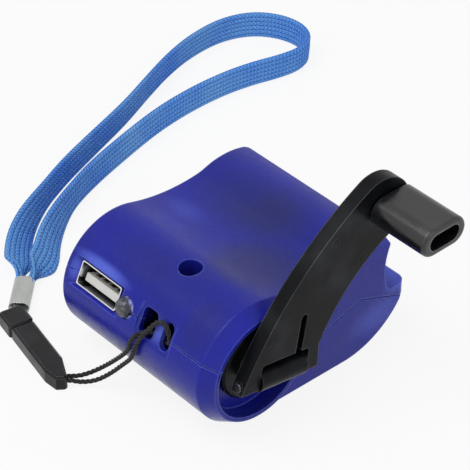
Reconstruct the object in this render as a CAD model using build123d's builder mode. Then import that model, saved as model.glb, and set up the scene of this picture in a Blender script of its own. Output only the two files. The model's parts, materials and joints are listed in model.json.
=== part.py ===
"""Hand crank phone charger with a folding crank, a gear train, a dynamo and a wrist strap.

Origin: centre of the flat base, on the table. The socket nose points to -X, the crank is on the -Y
side and +Z is up. Millimetres. The crank stands unfolded, as when somebody is about to turn it.
"""

import math
import os

from build123d import *

os.makedirs("parts", exist_ok=True)

# ---------------------------------------------------------------- housing, outer form
LENGTH = 60.0  # nose to tail, along X
DEPTH = 48.0  # crank rim to back face, along Y
HEIGHT = 30.0  # table to the top of the nose
NOSE_R = HEIGHT / 2  # the nose is a drum round the crank's axis
HUB_X = -LENGTH / 2 + NOSE_R
HUB_Z = NOSE_R
TAIL_X = LENGTH / 2
BACK_Y = DEPTH / 2
RIM_Y = -DEPTH / 2  # front of the round rim that guards the hub
BEVEL_Y = RIM_Y + 3.6  # where the drum starts to taper towards the rim
SIDE_Y = RIM_Y + 1.7  # flat crank side of the tail
DISH_Y = RIM_Y + 4.0  # floor of the round dish behind the hub
RIM_R = NOSE_R - 2.0
RIM_WALL = 1.0
FLOOR_END = 18.2  # the flat base ends this far before the tail, which curves up from there
DECK_Z = 14.0
TOE = 1.8  # height of the tail's upright edge below the deck
DECK = 5.7  # length of the deck behind the hump
CUSP_WAIST = (6.8, 9.4)  # from the tail and down from the top, as the next three are
CUSP_TIP = (5.2, 2.5)
HUMP_TOP = (13.2, 1.0)
HUMP_FOOT = (19.6, 2.4)
DRUM_TOP_DEG = 126.0  # angles round the hub axis on the drum's arcs
DRUM_LOW_DEG = 225.0
DRUM_END_DEG = 72.2  # where the drum runs into the waist
TIP_FILLET = 1.1
NOTCH_FILLET = 1.3
TOE_FILLET = 0.8
WAIST_FILLET = 12.0
BACK_FILLET = 0.7
HUMP_CORNER_R = 3.5
TAIL_CORNER_R = 2.0
TOP_SHRINK = 0.45  # how far the crank side's bevel draws the top edge in
TAIL_SHRINK = 0.3

# ---------------------------------------------------------------- housing, walls and parting line
WALL = 2.0
FRONT_WALL = 1.8
FRONT_INNER_Y = DISH_Y + FRONT_WALL
BACK_INNER_Y = BACK_Y - WALL
NOSE_DEG = 25.6  # the socket looks up from -X by this angle
PARTING = ((19.5, -2.3), (30.9, 0.5), (42.0, -4.3), (49.0, -7.1))  # from the hub axis
GROOVE_WIDTH = 0.3
GROOVE_DEPTH = 0.6

# ---------------------------------------------------------------- socket, lamp and lanyard bar
USB_Y = 13.9
USB_WIDTH = 13.1
USB_HEIGHT = 5.7
USB_LENGTH = 14.0
USB_SHEET = 0.3
USB_MOUTH = NOSE_R - 1.0  # distance of the socket's mouth from the hub axis
USB_FIT = 0.1
USB_CORNER_R = 0.5
TONGUE = 1.84
TONGUE_WIDTH = 11.1
TONGUE_LENGTH = 12.2
TONGUE_ROOT = 2.5
TONGUE_GAP = 0.9
TONGUE_SIDE = -1  # the tongue lies below the middle of the socket
CONTACTS = 4
CONTACT = 0.25
CONTACT_WIDTH = 1.1
CONTACT_PITCH = 2.3
CONTACT_SETBACK = 1.0
POCKET_WIDTH = 17.2
POCKET_HEIGHT = 7.6
POCKET_FLOOR = USB_MOUTH - 0.3
LAMP_Y = 4.2
LAMP_R = 2.5
LAMP_FIT = 0.1
LAMP_TIP = NOSE_R + 1.8
LAMP_FLANGE_R = 2.75
LAMP_FLANGE = 1.0
LAMP_BARREL = 4.5
LAMP_BOSS_WALL = 1.2
BAR_Y = -6.3
BAR_WIDTH = 2.2
BAR_SUNK = 0.6
LANYARD_V = 0.1
LANYARD_HEIGHT = 9.4
LANYARD_LEFT = 0.0  # Y of the recess's edge next to the lamp
LANYARD_RIGHT = -11.0
LANYARD_HOLE_HEIGHT = 6.6
LANYARD_RIM = 0.7
LANYARD_CORNER_R = 1.4

# ---------------------------------------------------------------- hub, hinge, arm and knob
SHAFT_R = 3.0
RUNNING_FIT = 0.05  # radial play of a turning shaft in its bore
FACE_GAP = 0.3  # air between faces that pass each other
BUSH_R = 4.6
BUSH_FLANGE_R = 5.6
BUSH_FLANGE = 1.0
DISC_R = 8.6
DISC = 1.6
DISC_CHAMFER = 0.5
BLOCK_HALF = 2.0
SHAFT_FLAT = 0.6  # how deep the flat is that turns the drive gear
HUB_SCREW_HEAD_R = 2.6
HUB_SCREW_HEAD = 0.6
FOLD_DEG = 10.0  # the hinge's tilt below +X at rest, in the side view
HINGE_Y = RIM_Y - 2.55
BARREL_R = 2.6
BARREL_START = -4.2
BARREL_END = 8.8
PIN_R = 1.0
ARM = 3.4  # thickness of the arm
ARM_LEG_START = -9.3
ARM_LEG_END = 12.5
ARM_FOOT = -1.45
CROTCH_W = 4.6
SLOT_U = 5.9
SLOT_WIDTH = 1.8
SLOT_END_W = 13.0
KNOB_U = 26.0
KNOB_W = 34.9
ARM_BACK_MID = (1.5, 21.2)
ARM_BACK_END = (19.7, 40.2)
ARM_TIP_BACK = (25.6, 41.2)
ARM_TIP_TOP = (29.0, 39.6)
ARM_TIP_SIDE = (31.9, 34.4)
ARM_TIP_LOW = (28.0, 26.8)
ARM_BELLY_MID = (17.4, 16.0)
ARM_BELLY_END = (11.9, 4.4)
ARM_THROAT_FILLET = 2.0
CROTCH_FILLET = 1.0
KNOB_LENGTH = 12.5
KNOB_WIDTH = 6.8
KNOB_REACH = 15.5
KNOB_GAP = 0.35
KNOB_POCKET_LENGTH = 8.6
KNOB_POCKET_WIDTH = 4.0
KNOB_FLOOR = 4.2
KNOB_FILLET = 0.8
KNOB_CHAMFER = 0.5  # on the end next to the arm
STUD_R = 1.0
STUD_HEAD_R = 1.8
STUD_HEAD = 1.0

# ---------------------------------------------------------------- gear train
MODULE = 0.5
ADDENDUM = 0.85 * MODULE
DEDENDUM = 1.25 * MODULE
PRESSURE_DEG = 20.0
BACKLASH = 0.1
MESH_GAP = 0.04  # added to each centre distance
IDLER_DEG = -9.6  # where the idler lies round the hub axis, and the rotor round the idler
ROTOR_DEG = 6.6
DRIVE_TEETH = 48
WHEEL_TEETH = 36
PINION_TEETH = 10
DRIVE_FACE = 3.5
WHEEL_FACE = 2.5
WHEEL_GAP = 0.8  # from the drive gear to the compound gear's wheel
AXLE_R = 0.75
AXLE_BOSS_R = 2.2
PLATE = 1.6
PLATE_Y = -7.6
PLATE_RIM = 0.5
WHEEL_OVERHANG = 0.5  # the dynamo's pinion is wider than its wheel by this at each end
POST_R = 1.7
POSTS_FROM_ROTOR = ((8.8, -5.5), (-0.8, -9.6))
SCREW_R = 0.7
SCREW_HEAD_R = 1.5
SCREW_HEAD = 1.0
SCREW_LENGTH = 6.0

# ---------------------------------------------------------------- dynamo
CAN_R = 9.5
CAN_WALL = 1.0
CAN_LENGTH = 24.0
CAP_LENGTH = 2.5
NOSE_RING_R = 3.0
NOSE_RING = 1.0
ROTOR_SHAFT_R = 1.0
ROTOR_SHAFT_END = 20.6
CORE_R = 7.2
CORE_LENGTH = 14.0
CORE_SLOTS = 5
CORE_SLOT_WIDTH = 1.6
CORE_SLOT_DEPTH = 3.2
CRADLE = 1.5
CRADLE_GAP = 0.15
CRADLES_Y = (1.0, 13.0)

# ---------------------------------------------------------------- circuit
BOARD = 1.6
BOARD_Y = (3.2, 21.0)
BOARD_SETBACK = 0.2  # from the lamp's boss
BOARD_BACK = -9.0
RIB = 1.2
RIBS_AT = (6.0, -5.0)
CAPACITOR_R = 3.1
CAPACITOR_LENGTH = 6.5
CAPACITOR_AT = (8.0, 4.8)  # Y, and distance behind the hub axis along the board
COIL_R = 3.4
COIL_LENGTH = 4.0
COIL_FLANGE = 0.8
COIL_AT = (16.2, 4.8)
CHIP = (3.0, 4.0, 1.5)
CHIP_AT = (4.9, -2.0)
LEAD_R = 0.25
LEAD_PITCH = 2.54
LEAD_RUN = 1.6

# ---------------------------------------------------------------- shell screws
WELL_SETOFF = 1.0  # from the hub axis towards the nose
WELL_Y = -2.9
WELL_R = 2.65
WELL_WALL = 1.2
WELL_DEPTH = 11.0
WELL_SCREW_R = 1.0
WELL_SCREW = 10.0
WELL_SCREW_HEAD_R = 2.0
WELL_SCREW_HEAD = 1.4
CROSS_SLOT = 0.5

# ---------------------------------------------------------------- clip, ferrule, cord and strap
CLIP_START = (-40.2, 12.5)
CLIP_END = (-34.8, 38.5)
CLIP_SPLIT = 19.9
CLIP_HEIGHT = 3.4
CLIP_LEFT = 2.1
CLIP_RIGHT = -3.3
CAP_LEFT = 2.4
CAP_RIGHT = -3.6
CLIP_GAP = 0.3
CLIP_CORNER_R = 1.0
CLIP_CHAMFER = 0.5
NECK_LENGTH = 7.0
NECK_HALF = 1.2
PRONG = (3.6, 1.2, 1.7)
PRONG_PITCH = 2.4
PRONG_FIT = 0.15
FERRULE_START = (-31.7, 38.4)
FERRULE_END = (-24.8, 45.1)
FERRULE_WIDTH = 4.8
FERRULE_HEIGHT = 3.2
FERRULE_WALL = 0.5
TAB = 0.8
TAB_WIDTH = 2.4
TAB_LENGTH = 2.6
NECK = (1.7, 2.0)  # each end of the strap where the ferrule squeezes it, across and up
NECK_SPLIT = 0.1
NECK_FIT = 0.02
ROUNDING = 0.45  # share of the shorter run that an arc takes up
CORD_R = 0.55
CORD_SIDES = 10
STRAP_WIDTH = 7.6
STRAP = 1.3

# ---------------------------------------------------------------- frames of reference
WELL_X = HUB_X - WELL_SETOFF
WELL_FLOOR_Z = HEIGHT - WELL_DEPTH
nose_out = Vector(-math.cos(math.radians(NOSE_DEG)), 0, math.sin(math.radians(NOSE_DEG)))
NOSE = Plane(origin=(HUB_X, 0, HUB_Z), x_dir=(0, -1, 0), z_dir=nose_out)  # local y runs up the nose
hinge_dir = Vector(math.cos(math.radians(FOLD_DEG)), 0, -math.sin(math.radians(FOLD_DEG)))


def side_plane(y):
    """XZ plane at a depth; what is drawn on it is extruded towards -Y."""
    return Plane.XZ.offset(-y)


def hub_plane(y):
    """Plane at a depth with its origin on the hub axis, x along the hinge and y along the arm."""
    return Plane(origin=(HUB_X, y, HUB_Z), x_dir=tuple(hinge_dir), z_dir=(0, -1, 0))


def drum_point(radius, degrees):
    """Point at an angle round the hub axis, in the side view."""
    angle = math.radians(degrees)
    return (HUB_X + radius * math.cos(angle), HUB_Z + radius * math.sin(angle))


def save(piece, name):
    """Label a finished piece and write it to its own file."""
    piece.part.label = name
    export_step(piece.part, f"parts/{name}.step")


# ---------------------------------------------------------------- housing
def side_view(shrink=0.0):
    """Outline of the housing seen from the crank side; shrink runs to 1 down the side's bevel."""
    nose_r = NOSE_R - shrink * (NOSE_R - RIM_R) * (SIDE_Y - BEVEL_Y) / (RIM_Y - BEVEL_Y)
    top = shrink * TOP_SHRINK
    tail = shrink * TAIL_SHRINK
    drum_end = drum_point(nose_r, DRUM_END_DEG)
    leave = math.radians(DRUM_END_DEG - 90)
    floor_end = (TAIL_X - FLOOR_END, tail)
    heel = (TAIL_X - tail, DECK_Z - TOE)
    toe = (TAIL_X - tail, DECK_Z - tail)
    notch = (TAIL_X - DECK - tail, DECK_Z - tail)
    waist = (TAIL_X - CUSP_WAIST[0] - tail, HEIGHT - CUSP_WAIST[1])
    tip = (TAIL_X - CUSP_TIP[0] - tail, HEIGHT - CUSP_TIP[1] - top)
    crest = (TAIL_X - HUMP_TOP[0], HEIGHT - HUMP_TOP[1] - top)
    foot = (TAIL_X - HUMP_FOOT[0], HEIGHT - HUMP_FOOT[1] - top)
    with BuildSketch() as outline:
        with BuildLine():
            Line((HUB_X, HUB_Z - nose_r), floor_end)
            TangentArc(floor_end, heel, tangent=(1, 0))
            Line(heel, toe)
            Line(toe, notch)
            ThreePointArc(notch, waist, tip)
            ThreePointArc(tip, crest, foot)
            TangentArc(drum_end, foot, tangent=(math.cos(leave), math.sin(leave)))
            ThreePointArc(drum_end, drum_point(nose_r, DRUM_TOP_DEG), drum_point(nose_r, 180))
            ThreePointArc(
                drum_point(nose_r, 180), drum_point(nose_r, DRUM_LOW_DEG), drum_point(nose_r, 270)
            )
        make_face()
        for corner, radius in (
            (tip, TIP_FILLET),
            (notch, NOTCH_FILLET),
            (toe, TOE_FILLET),
            (foot, WAIST_FILLET),
        ):
            fillet(outline.vertices().sort_by_distance((*corner, 0))[0], radius)
    return outline.sketch


def inner_view(inset):
    """The side view drawn in by a wall."""
    with BuildSketch() as outline:
        add(side_view())
        offset(amount=-inset, mode=Mode.REPLACE)
    return outline.sketch


def corner_cutter(x, y, radius, side=1):
    """What a plan-view corner of this radius takes off; side is -1 on the crank side."""
    with BuildSketch() as cutter:
        with Locations((x, y)):
            Rectangle(2 * radius, 2 * radius)
        with Locations((x - radius, y - side * radius)):
            Circle(radius, mode=Mode.SUBTRACT)
    return cutter.sketch


drive_axis = (HUB_X, HUB_Z)
first_centre = MODULE * (DRIVE_TEETH + PINION_TEETH) / 2 + MESH_GAP
second_centre = MODULE * (WHEEL_TEETH + PINION_TEETH) / 2 + MESH_GAP
idler_angle = math.radians(IDLER_DEG)
second_angle = math.radians(ROTOR_DEG)
idler_axis = drum_point(first_centre, IDLER_DEG)
rotor_axis = (
    idler_axis[0] + second_centre * math.cos(second_angle),
    idler_axis[1] + second_centre * math.sin(second_angle),
)
posts = tuple((rotor_axis[0] + x, rotor_axis[1] + z) for x, z in POSTS_FROM_ROTOR)
DRIVE_Y = FRONT_INNER_Y + BUSH_FLANGE + FACE_GAP  # front face of the drive gear
DRIVE_END_Y = DRIVE_Y + DRIVE_FACE
WHEEL_Y = DRIVE_END_Y + WHEEL_GAP
WHEEL_END_Y = WHEEL_Y + WHEEL_FACE
PLATE_END_Y = PLATE_Y + PLATE

with BuildPart() as outer:
    with BuildSketch(side_plane(BACK_Y)):
        add(side_view())
    extrude(amount=BACK_Y - BEVEL_Y)
    fillet(outer.faces().sort_by(Axis.Y)[-1].edges(), BACK_FILLET)
    with BuildSketch(side_plane(BEVEL_Y)):
        add(side_view())
    with BuildSketch(side_plane(SIDE_Y)):
        add(side_view(1.0))
    loft(ruled=True)
    with BuildSketch(side_plane(SIDE_Y)):
        with Locations(drive_axis):
            Circle(RIM_R + (NOSE_R - RIM_R) * (SIDE_Y - RIM_Y) / (BEVEL_Y - RIM_Y))
    with BuildSketch(side_plane(RIM_Y)):
        with Locations(drive_axis):
            Circle(RIM_R)
    loft(ruled=True)
    with BuildSketch():
        add(corner_cutter(TAIL_X, BACK_Y, TAIL_CORNER_R))
        add(corner_cutter(TAIL_X - TAIL_SHRINK, SIDE_Y, TAIL_CORNER_R, -1))
    extrude(amount=HEIGHT, mode=Mode.SUBTRACT)
    with BuildSketch(Plane.XY.offset(DECK_Z)):
        add(corner_cutter(TAIL_X - CUSP_TIP[0], BACK_Y, HUMP_CORNER_R))
    extrude(amount=HEIGHT, mode=Mode.SUBTRACT)

with BuildPart() as cavity:
    with BuildSketch(side_plane(BACK_INNER_Y)):
        add(inner_view(WALL))
    extrude(amount=BACK_INNER_Y - FRONT_INNER_Y)

with BuildPart() as groove_core:
    with BuildSketch(side_plane(BACK_Y - GROOVE_DEPTH)):
        add(inner_view(GROOVE_DEPTH))
    extrude(amount=BACK_Y - BEVEL_Y - GROOVE_DEPTH)
    with BuildSketch(side_plane(BEVEL_Y)):
        with Locations(drive_axis):
            Circle(NOSE_R - GROOVE_DEPTH)
    with BuildSketch(side_plane(RIM_Y)):
        with Locations(drive_axis):
            Circle(RIM_R - GROOVE_DEPTH)
    loft(ruled=True)
    with BuildSketch(side_plane(BEVEL_Y)):
        add(inner_view(NOSE_R - RIM_R))
    extrude(amount=BEVEL_Y - SIDE_Y - GROOVE_DEPTH)

nose_lead = drum_point(NOSE_R + WALL, 180 - NOSE_DEG)
parting_line = (nose_lead, drive_axis, *((HUB_X + x, HUB_Z + z) for x, z in PARTING))


def upper_region(low=0.0):
    """Everything above the parting line, moved down by low."""
    with BuildSketch() as region:
        with BuildLine():
            Polyline(
                *((x, z - low) for x, z in parting_line),
                (parting_line[-1][0], HEIGHT + WALL),
                (nose_lead[0], HEIGHT + WALL),
                close=True,
            )
        make_face()
    return region.sketch


with BuildPart() as upper_space:
    with BuildSketch(side_plane(BACK_Y + WALL)):
        add(upper_region())
    extrude(amount=DEPTH + 2 * WALL)

with BuildPart() as groove:
    with BuildSketch(side_plane(BACK_Y + WALL)):
        add(upper_region(GROOVE_WIDTH))
        add(upper_region(), mode=Mode.SUBTRACT)
    extrude(amount=DEPTH + 2 * WALL)
    add(groove_core, mode=Mode.SUBTRACT)

lamp_seat = LAMP_TIP - LAMP_R - LAMP_BARREL  # where the lamp's flange meets its boss

with BuildPart() as fittings:
    with BuildSketch(Plane.XY.offset(WALL / 2)):
        with Locations((WELL_X, WELL_Y)):
            Circle(WELL_R + WELL_WALL)
    extrude(amount=HEIGHT - WALL)
    with BuildSketch(NOSE.offset(lamp_seat)):
        with Locations((-LAMP_Y, 0)):
            Circle(LAMP_R + LAMP_FIT + LAMP_BOSS_WALL)
    extrude(amount=NOSE_R - WALL / 2 - lamp_seat)
    for rib_y in CRADLES_Y:
        with BuildSketch(side_plane(rib_y + CRADLE)):
            with Locations(((rotor_axis[0] + TAIL_X - CAN_R) / 2, HUB_Z)):
                Rectangle(TAIL_X - rotor_axis[0] + CAN_R, HEIGHT)
            with Locations(rotor_axis):
                Circle(CAN_R + CRADLE_GAP, mode=Mode.SUBTRACT)
        extrude(amount=CRADLE)
    for rib_at in RIBS_AT:
        with BuildSketch(NOSE.offset(rib_at - RIB / 2)):
            with Locations((-sum(BOARD_Y) / 2, -USB_HEIGHT / 2 - BOARD - NOSE_R / 2)):
                Rectangle(BOARD_Y[1] - BOARD_Y[0] - 2 * RIB, NOSE_R)
        extrude(amount=RIB)
    with BuildSketch(side_plane(PLATE_Y)):
        with Locations(*posts):
            Circle(POST_R)
    extrude(amount=PLATE_Y - DISH_Y)
    with BuildSketch(side_plane(DRIVE_Y - FACE_GAP)):
        with Locations(idler_axis):
            Circle(AXLE_BOSS_R)
    extrude(amount=DRIVE_Y - FACE_GAP - DISH_Y)
    with BuildSketch(side_plane(BACK_Y - WALL / 2)):
        add(inner_view(WALL / 2))
    extrude(amount=DEPTH - WALL, mode=Mode.INTERSECT)

with BuildPart() as housing:
    add(outer)
    add(cavity, mode=Mode.SUBTRACT)
    add(fittings)
    # round dish behind the hub and the bush's bore
    with BuildSketch(side_plane(DISH_Y)):
        with Locations(drive_axis):
            Circle(RIM_R - RIM_WALL)
    extrude(amount=DEPTH, mode=Mode.SUBTRACT)
    with BuildSketch(side_plane(FRONT_INNER_Y + WALL)):
        with Locations(drive_axis):
            Circle(BUSH_R)
    extrude(amount=DEPTH, mode=Mode.SUBTRACT)
    # bevelled pocket and slot of the socket
    with BuildSketch(NOSE.offset(POCKET_FLOOR)):
        with Locations((-USB_Y, 0)):
            Rectangle(USB_WIDTH + 2 * USB_FIT, USB_HEIGHT + 2 * USB_FIT)
    with BuildSketch(NOSE.offset(NOSE_R + USB_FIT)):
        with Locations((-USB_Y, 0)):
            Rectangle(POCKET_WIDTH, POCKET_HEIGHT)
    loft(mode=Mode.SUBTRACT)
    with BuildSketch(NOSE.offset(POCKET_FLOOR + USB_FIT)):
        with Locations((-USB_Y, 0)):
            Rectangle(USB_WIDTH + 2 * USB_FIT, USB_HEIGHT + 2 * USB_FIT)
    extrude(amount=-USB_LENGTH, mode=Mode.SUBTRACT)
    # lamp bore
    with BuildSketch(NOSE.offset(lamp_seat - WALL)):
        with Locations((-LAMP_Y, 0)):
            Circle(LAMP_R + LAMP_FIT)
    extrude(amount=NOSE_R, mode=Mode.SUBTRACT)
    # lanyard recess, with a hole on each side of the bar
    with BuildSketch(NOSE.offset(NOSE_R - BAR_SUNK)):
        with Locations((-(LANYARD_LEFT + LANYARD_RIGHT) / 2, LANYARD_V)):
            RectangleRounded(LANYARD_LEFT - LANYARD_RIGHT, LANYARD_HEIGHT, LANYARD_CORNER_R)
    extrude(amount=NOSE_R, mode=Mode.SUBTRACT)
    for near, far in (
        (LANYARD_RIGHT + LANYARD_RIM, BAR_Y - BAR_WIDTH / 2),
        (BAR_Y + BAR_WIDTH / 2, LANYARD_LEFT - LANYARD_RIM),
    ):
        with BuildSketch(NOSE.offset(NOSE_R / 2)):
            with Locations((-(near + far) / 2, LANYARD_V)):
                RectangleRounded(far - near, LANYARD_HOLE_HEIGHT, LANYARD_CORNER_R)
        extrude(amount=NOSE_R, mode=Mode.SUBTRACT)
    # screw well from the top, the screw's passage and its pilot hole
    with Locations(Plane.XY.offset(WELL_FLOOR_Z)):
        with Locations((WELL_X, WELL_Y)):
            Cylinder(WELL_R, HEIGHT, align=(Align.CENTER, Align.CENTER, Align.MIN), mode=Mode.SUBTRACT)
            Cylinder(
                WELL_SCREW_R + RUNNING_FIT,
                WELL_SCREW + WALL / 4,
                align=(Align.CENTER, Align.CENTER, Align.MAX),
                mode=Mode.SUBTRACT,
            )
    # bores for the idler axle and the plate screws
    with BuildSketch(side_plane(DRIVE_Y)):
        with Locations(idler_axis):
            Circle(AXLE_R)
    extrude(amount=DRIVE_Y - DISH_Y - FRONT_WALL / 2, mode=Mode.SUBTRACT)
    with BuildSketch(side_plane(PLATE_Y)):
        with Locations(*posts):
            Circle(SCREW_R)
    extrude(amount=SCREW_LENGTH - PLATE + FACE_GAP, mode=Mode.SUBTRACT)
    add(groove, mode=Mode.SUBTRACT)

with BuildPart() as upper_shell:
    add(housing)
    add(upper_space, mode=Mode.INTERSECT)
save(upper_shell, "upper_shell")

with BuildPart() as lower_shell:
    add(housing)
    add(upper_space, mode=Mode.SUBTRACT)
save(lower_shell, "lower_shell")

with BuildPart() as shell_screw:
    with Locations(Plane.XY.offset(WELL_FLOOR_Z)):
        with Locations((WELL_X, WELL_Y)):
            Cylinder(WELL_SCREW_HEAD_R, WELL_SCREW_HEAD, align=(Align.CENTER, Align.CENTER, Align.MIN))
            Cylinder(WELL_SCREW_R, WELL_SCREW, align=(Align.CENTER, Align.CENTER, Align.MAX))
    for turn in (0, 90):
        with BuildSketch(Plane.XY.offset(WELL_FLOOR_Z + WELL_SCREW_HEAD)):
            with Locations((WELL_X, WELL_Y)):
                Rectangle(WELL_SCREW_HEAD_R, CROSS_SLOT, rotation=turn)
        extrude(amount=-WELL_SCREW_HEAD / 2, mode=Mode.SUBTRACT)
save(shell_screw, "shell_screw")

# ---------------------------------------------------------------- bush, hub and hinge
with BuildPart() as hub_bush:
    with BuildSketch(side_plane(FRONT_INNER_Y)):
        with Locations(drive_axis):
            Circle(BUSH_R)
    extrude(amount=FRONT_WALL)
    with BuildSketch(side_plane(FRONT_INNER_Y + BUSH_FLANGE)):
        with Locations(drive_axis):
            Circle(BUSH_FLANGE_R)
    extrude(amount=BUSH_FLANGE)
    with BuildSketch(side_plane(DRIVE_Y)):
        with Locations(drive_axis):
            Circle(SHAFT_R + RUNNING_FIT)
    extrude(amount=DEPTH, mode=Mode.SUBTRACT)
save(hub_bush, "hub_bush")


def keyed_section():
    """Section of the shaft where the drive gear sits: a circle with one flat."""
    with BuildSketch() as section:
        Circle(SHAFT_R)
        with Locations((0, SHAFT_R)):
            Rectangle(2 * SHAFT_R, 2 * SHAFT_FLAT, mode=Mode.SUBTRACT)
    return section.sketch


disc_back_y = DISH_Y - FACE_GAP
disc_front_y = disc_back_y - DISC
barrel_plane = Plane(
    origin=(HUB_X + BARREL_START * hinge_dir.X, HINGE_Y, HUB_Z + BARREL_START * hinge_dir.Z),
    x_dir=(0, 1, 0),
    z_dir=tuple(hinge_dir),
)
with BuildPart() as crank_hub:
    with BuildSketch(hub_plane(disc_back_y)):
        Circle(DISC_R)
    extrude(amount=DISC)
    chamfer(crank_hub.faces().sort_by(Axis.Y)[0].edges(), DISC_CHAMFER)
    with BuildSketch(hub_plane(disc_front_y + DISC / 2)):
        with Locations(((BARREL_START + BARREL_END) / 2, 0)):
            Rectangle(BARREL_END - BARREL_START, 2 * BLOCK_HALF)
    extrude(amount=disc_front_y + DISC / 2 - HINGE_Y)
    with BuildSketch(barrel_plane):
        Circle(BARREL_R)
    extrude(amount=BARREL_END - BARREL_START)
    with BuildSketch(barrel_plane):
        Circle(PIN_R)
    extrude(amount=BARREL_END - BARREL_START, mode=Mode.SUBTRACT)
    with BuildSketch(hub_plane(DRIVE_Y)):
        Circle(SHAFT_R)
    extrude(amount=DRIVE_Y - disc_back_y)
    with BuildSketch(hub_plane(DRIVE_END_Y)):
        add(keyed_section())
    extrude(amount=DRIVE_FACE)
    with BuildSketch(hub_plane(DRIVE_END_Y)):
        Circle(SCREW_R)
    extrude(amount=SCREW_LENGTH, mode=Mode.SUBTRACT)
save(crank_hub, "crank_hub")

with BuildPart() as hub_screw:
    with BuildSketch(hub_plane(DRIVE_END_Y)):
        Circle(SCREW_R)
    extrude(amount=SCREW_LENGTH)
    with BuildSketch(hub_plane(DRIVE_END_Y + HUB_SCREW_HEAD)):
        Circle(HUB_SCREW_HEAD_R)
    extrude(amount=HUB_SCREW_HEAD)
save(hub_screw, "hub_screw")

pin_plane = Plane(
    origin=(HUB_X + ARM_LEG_START * hinge_dir.X, HINGE_Y, HUB_Z + ARM_LEG_START * hinge_dir.Z),
    x_dir=(0, 1, 0),
    z_dir=tuple(hinge_dir),
)
with BuildPart() as hinge_pin:
    with BuildSketch(pin_plane):
        Circle(PIN_R)
    extrude(amount=ARM_LEG_END - ARM_LEG_START)
save(hinge_pin, "hinge_pin")

# ---------------------------------------------------------------- crank arm
arm_front_y = HINGE_Y - ARM / 2
arm_back_y = HINGE_Y + ARM / 2
leg_left = BARREL_START - FACE_GAP
leg_right = BARREL_END + FACE_GAP
with BuildPart() as crank_arm:
    with BuildSketch(hub_plane(arm_back_y)) as arm_outline:
        with BuildLine():
            Line((ARM_LEG_END, ARM_FOOT), (ARM_LEG_START, ARM_FOOT))
            ThreePointArc((ARM_LEG_START, ARM_FOOT), ARM_BACK_MID, ARM_BACK_END)
            ThreePointArc(ARM_BACK_END, ARM_TIP_BACK, ARM_TIP_TOP)
            ThreePointArc(ARM_TIP_TOP, ARM_TIP_SIDE, ARM_TIP_LOW)
            ThreePointArc(ARM_TIP_LOW, ARM_BELLY_MID, ARM_BELLY_END)
            Line(ARM_BELLY_END, (ARM_LEG_END, 0))
            Line((ARM_LEG_END, 0), (ARM_LEG_END, ARM_FOOT))
        make_face()
        with Locations(((leg_left + leg_right) / 2, CROTCH_W / 2 + ARM_FOOT / 2)):
            Rectangle(leg_right - leg_left, CROTCH_W - ARM_FOOT, mode=Mode.SUBTRACT)
        fillet(arm_outline.vertices().sort_by_distance((*ARM_TIP_LOW, 0))[0], ARM_THROAT_FILLET)
        for corner_u in (leg_left, leg_right):
            fillet(arm_outline.vertices().sort_by_distance((corner_u, CROTCH_W, 0))[0], CROTCH_FILLET)
        with Locations((SLOT_U, (CROTCH_W + SLOT_END_W) / 2)):
            Rectangle(SLOT_WIDTH, SLOT_END_W - CROTCH_W, mode=Mode.SUBTRACT)
        with Locations((SLOT_U, SLOT_END_W)):
            Circle(SLOT_WIDTH / 2, mode=Mode.SUBTRACT)
    extrude(amount=ARM)
    with BuildSketch(pin_plane.offset(-FACE_GAP)):
        Circle(PIN_R + RUNNING_FIT)
    extrude(amount=LENGTH, mode=Mode.SUBTRACT)
    with BuildSketch(hub_plane(arm_back_y)):
        with Locations((KNOB_U, KNOB_W)):
            Circle(STUD_R)
    extrude(amount=ARM, mode=Mode.SUBTRACT)
save(crank_arm, "crank_arm")

# ---------------------------------------------------------------- knob and its stud
knob_direction = KNOB_U * hinge_dir + KNOB_W * Vector(-hinge_dir.Z, 0, hinge_dir.X)
KNOB_X = HUB_X + knob_direction.X
KNOB_Z = HUB_Z + knob_direction.Z
knob_back_y = arm_front_y - KNOB_GAP
knob_front_y = knob_back_y - KNOB_REACH


def knob_plane(y):
    """Plane at a depth with its origin on the knob's axis."""
    return Plane(origin=(KNOB_X, y, KNOB_Z), x_dir=(1, 0, 0), z_dir=(0, -1, 0))


with BuildPart() as crank_knob:
    with BuildSketch(knob_plane(knob_back_y)):
        SlotOverall(KNOB_LENGTH, KNOB_WIDTH)
    extrude(amount=KNOB_REACH)
    fillet(crank_knob.faces().sort_by(Axis.Y)[0].edges(), KNOB_FILLET)
    chamfer(crank_knob.faces().sort_by(Axis.Y)[-1].edges(), KNOB_CHAMFER)
    with BuildSketch(knob_plane(knob_back_y - KNOB_FLOOR)):
        SlotOverall(KNOB_POCKET_LENGTH, KNOB_POCKET_WIDTH)
    extrude(amount=KNOB_REACH, mode=Mode.SUBTRACT)
    with BuildSketch(knob_plane(knob_back_y)):
        Circle(STUD_R + RUNNING_FIT)
    extrude(amount=KNOB_REACH, mode=Mode.SUBTRACT)
save(crank_knob, "crank_knob")

with BuildPart() as knob_stud:
    with BuildSketch(knob_plane(arm_back_y)):
        Circle(STUD_R)
    extrude(amount=arm_back_y - knob_back_y + KNOB_FLOOR + RUNNING_FIT)
    with BuildSketch(knob_plane(knob_back_y - KNOB_FLOOR - RUNNING_FIT)):
        Circle(STUD_HEAD_R)
    extrude(amount=STUD_HEAD)
    chamfer(knob_stud.faces().sort_by(Axis.Y)[0].edges(), STUD_HEAD / 3)
save(knob_stud, "knob_stud")

# ---------------------------------------------------------------- gear train


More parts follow.
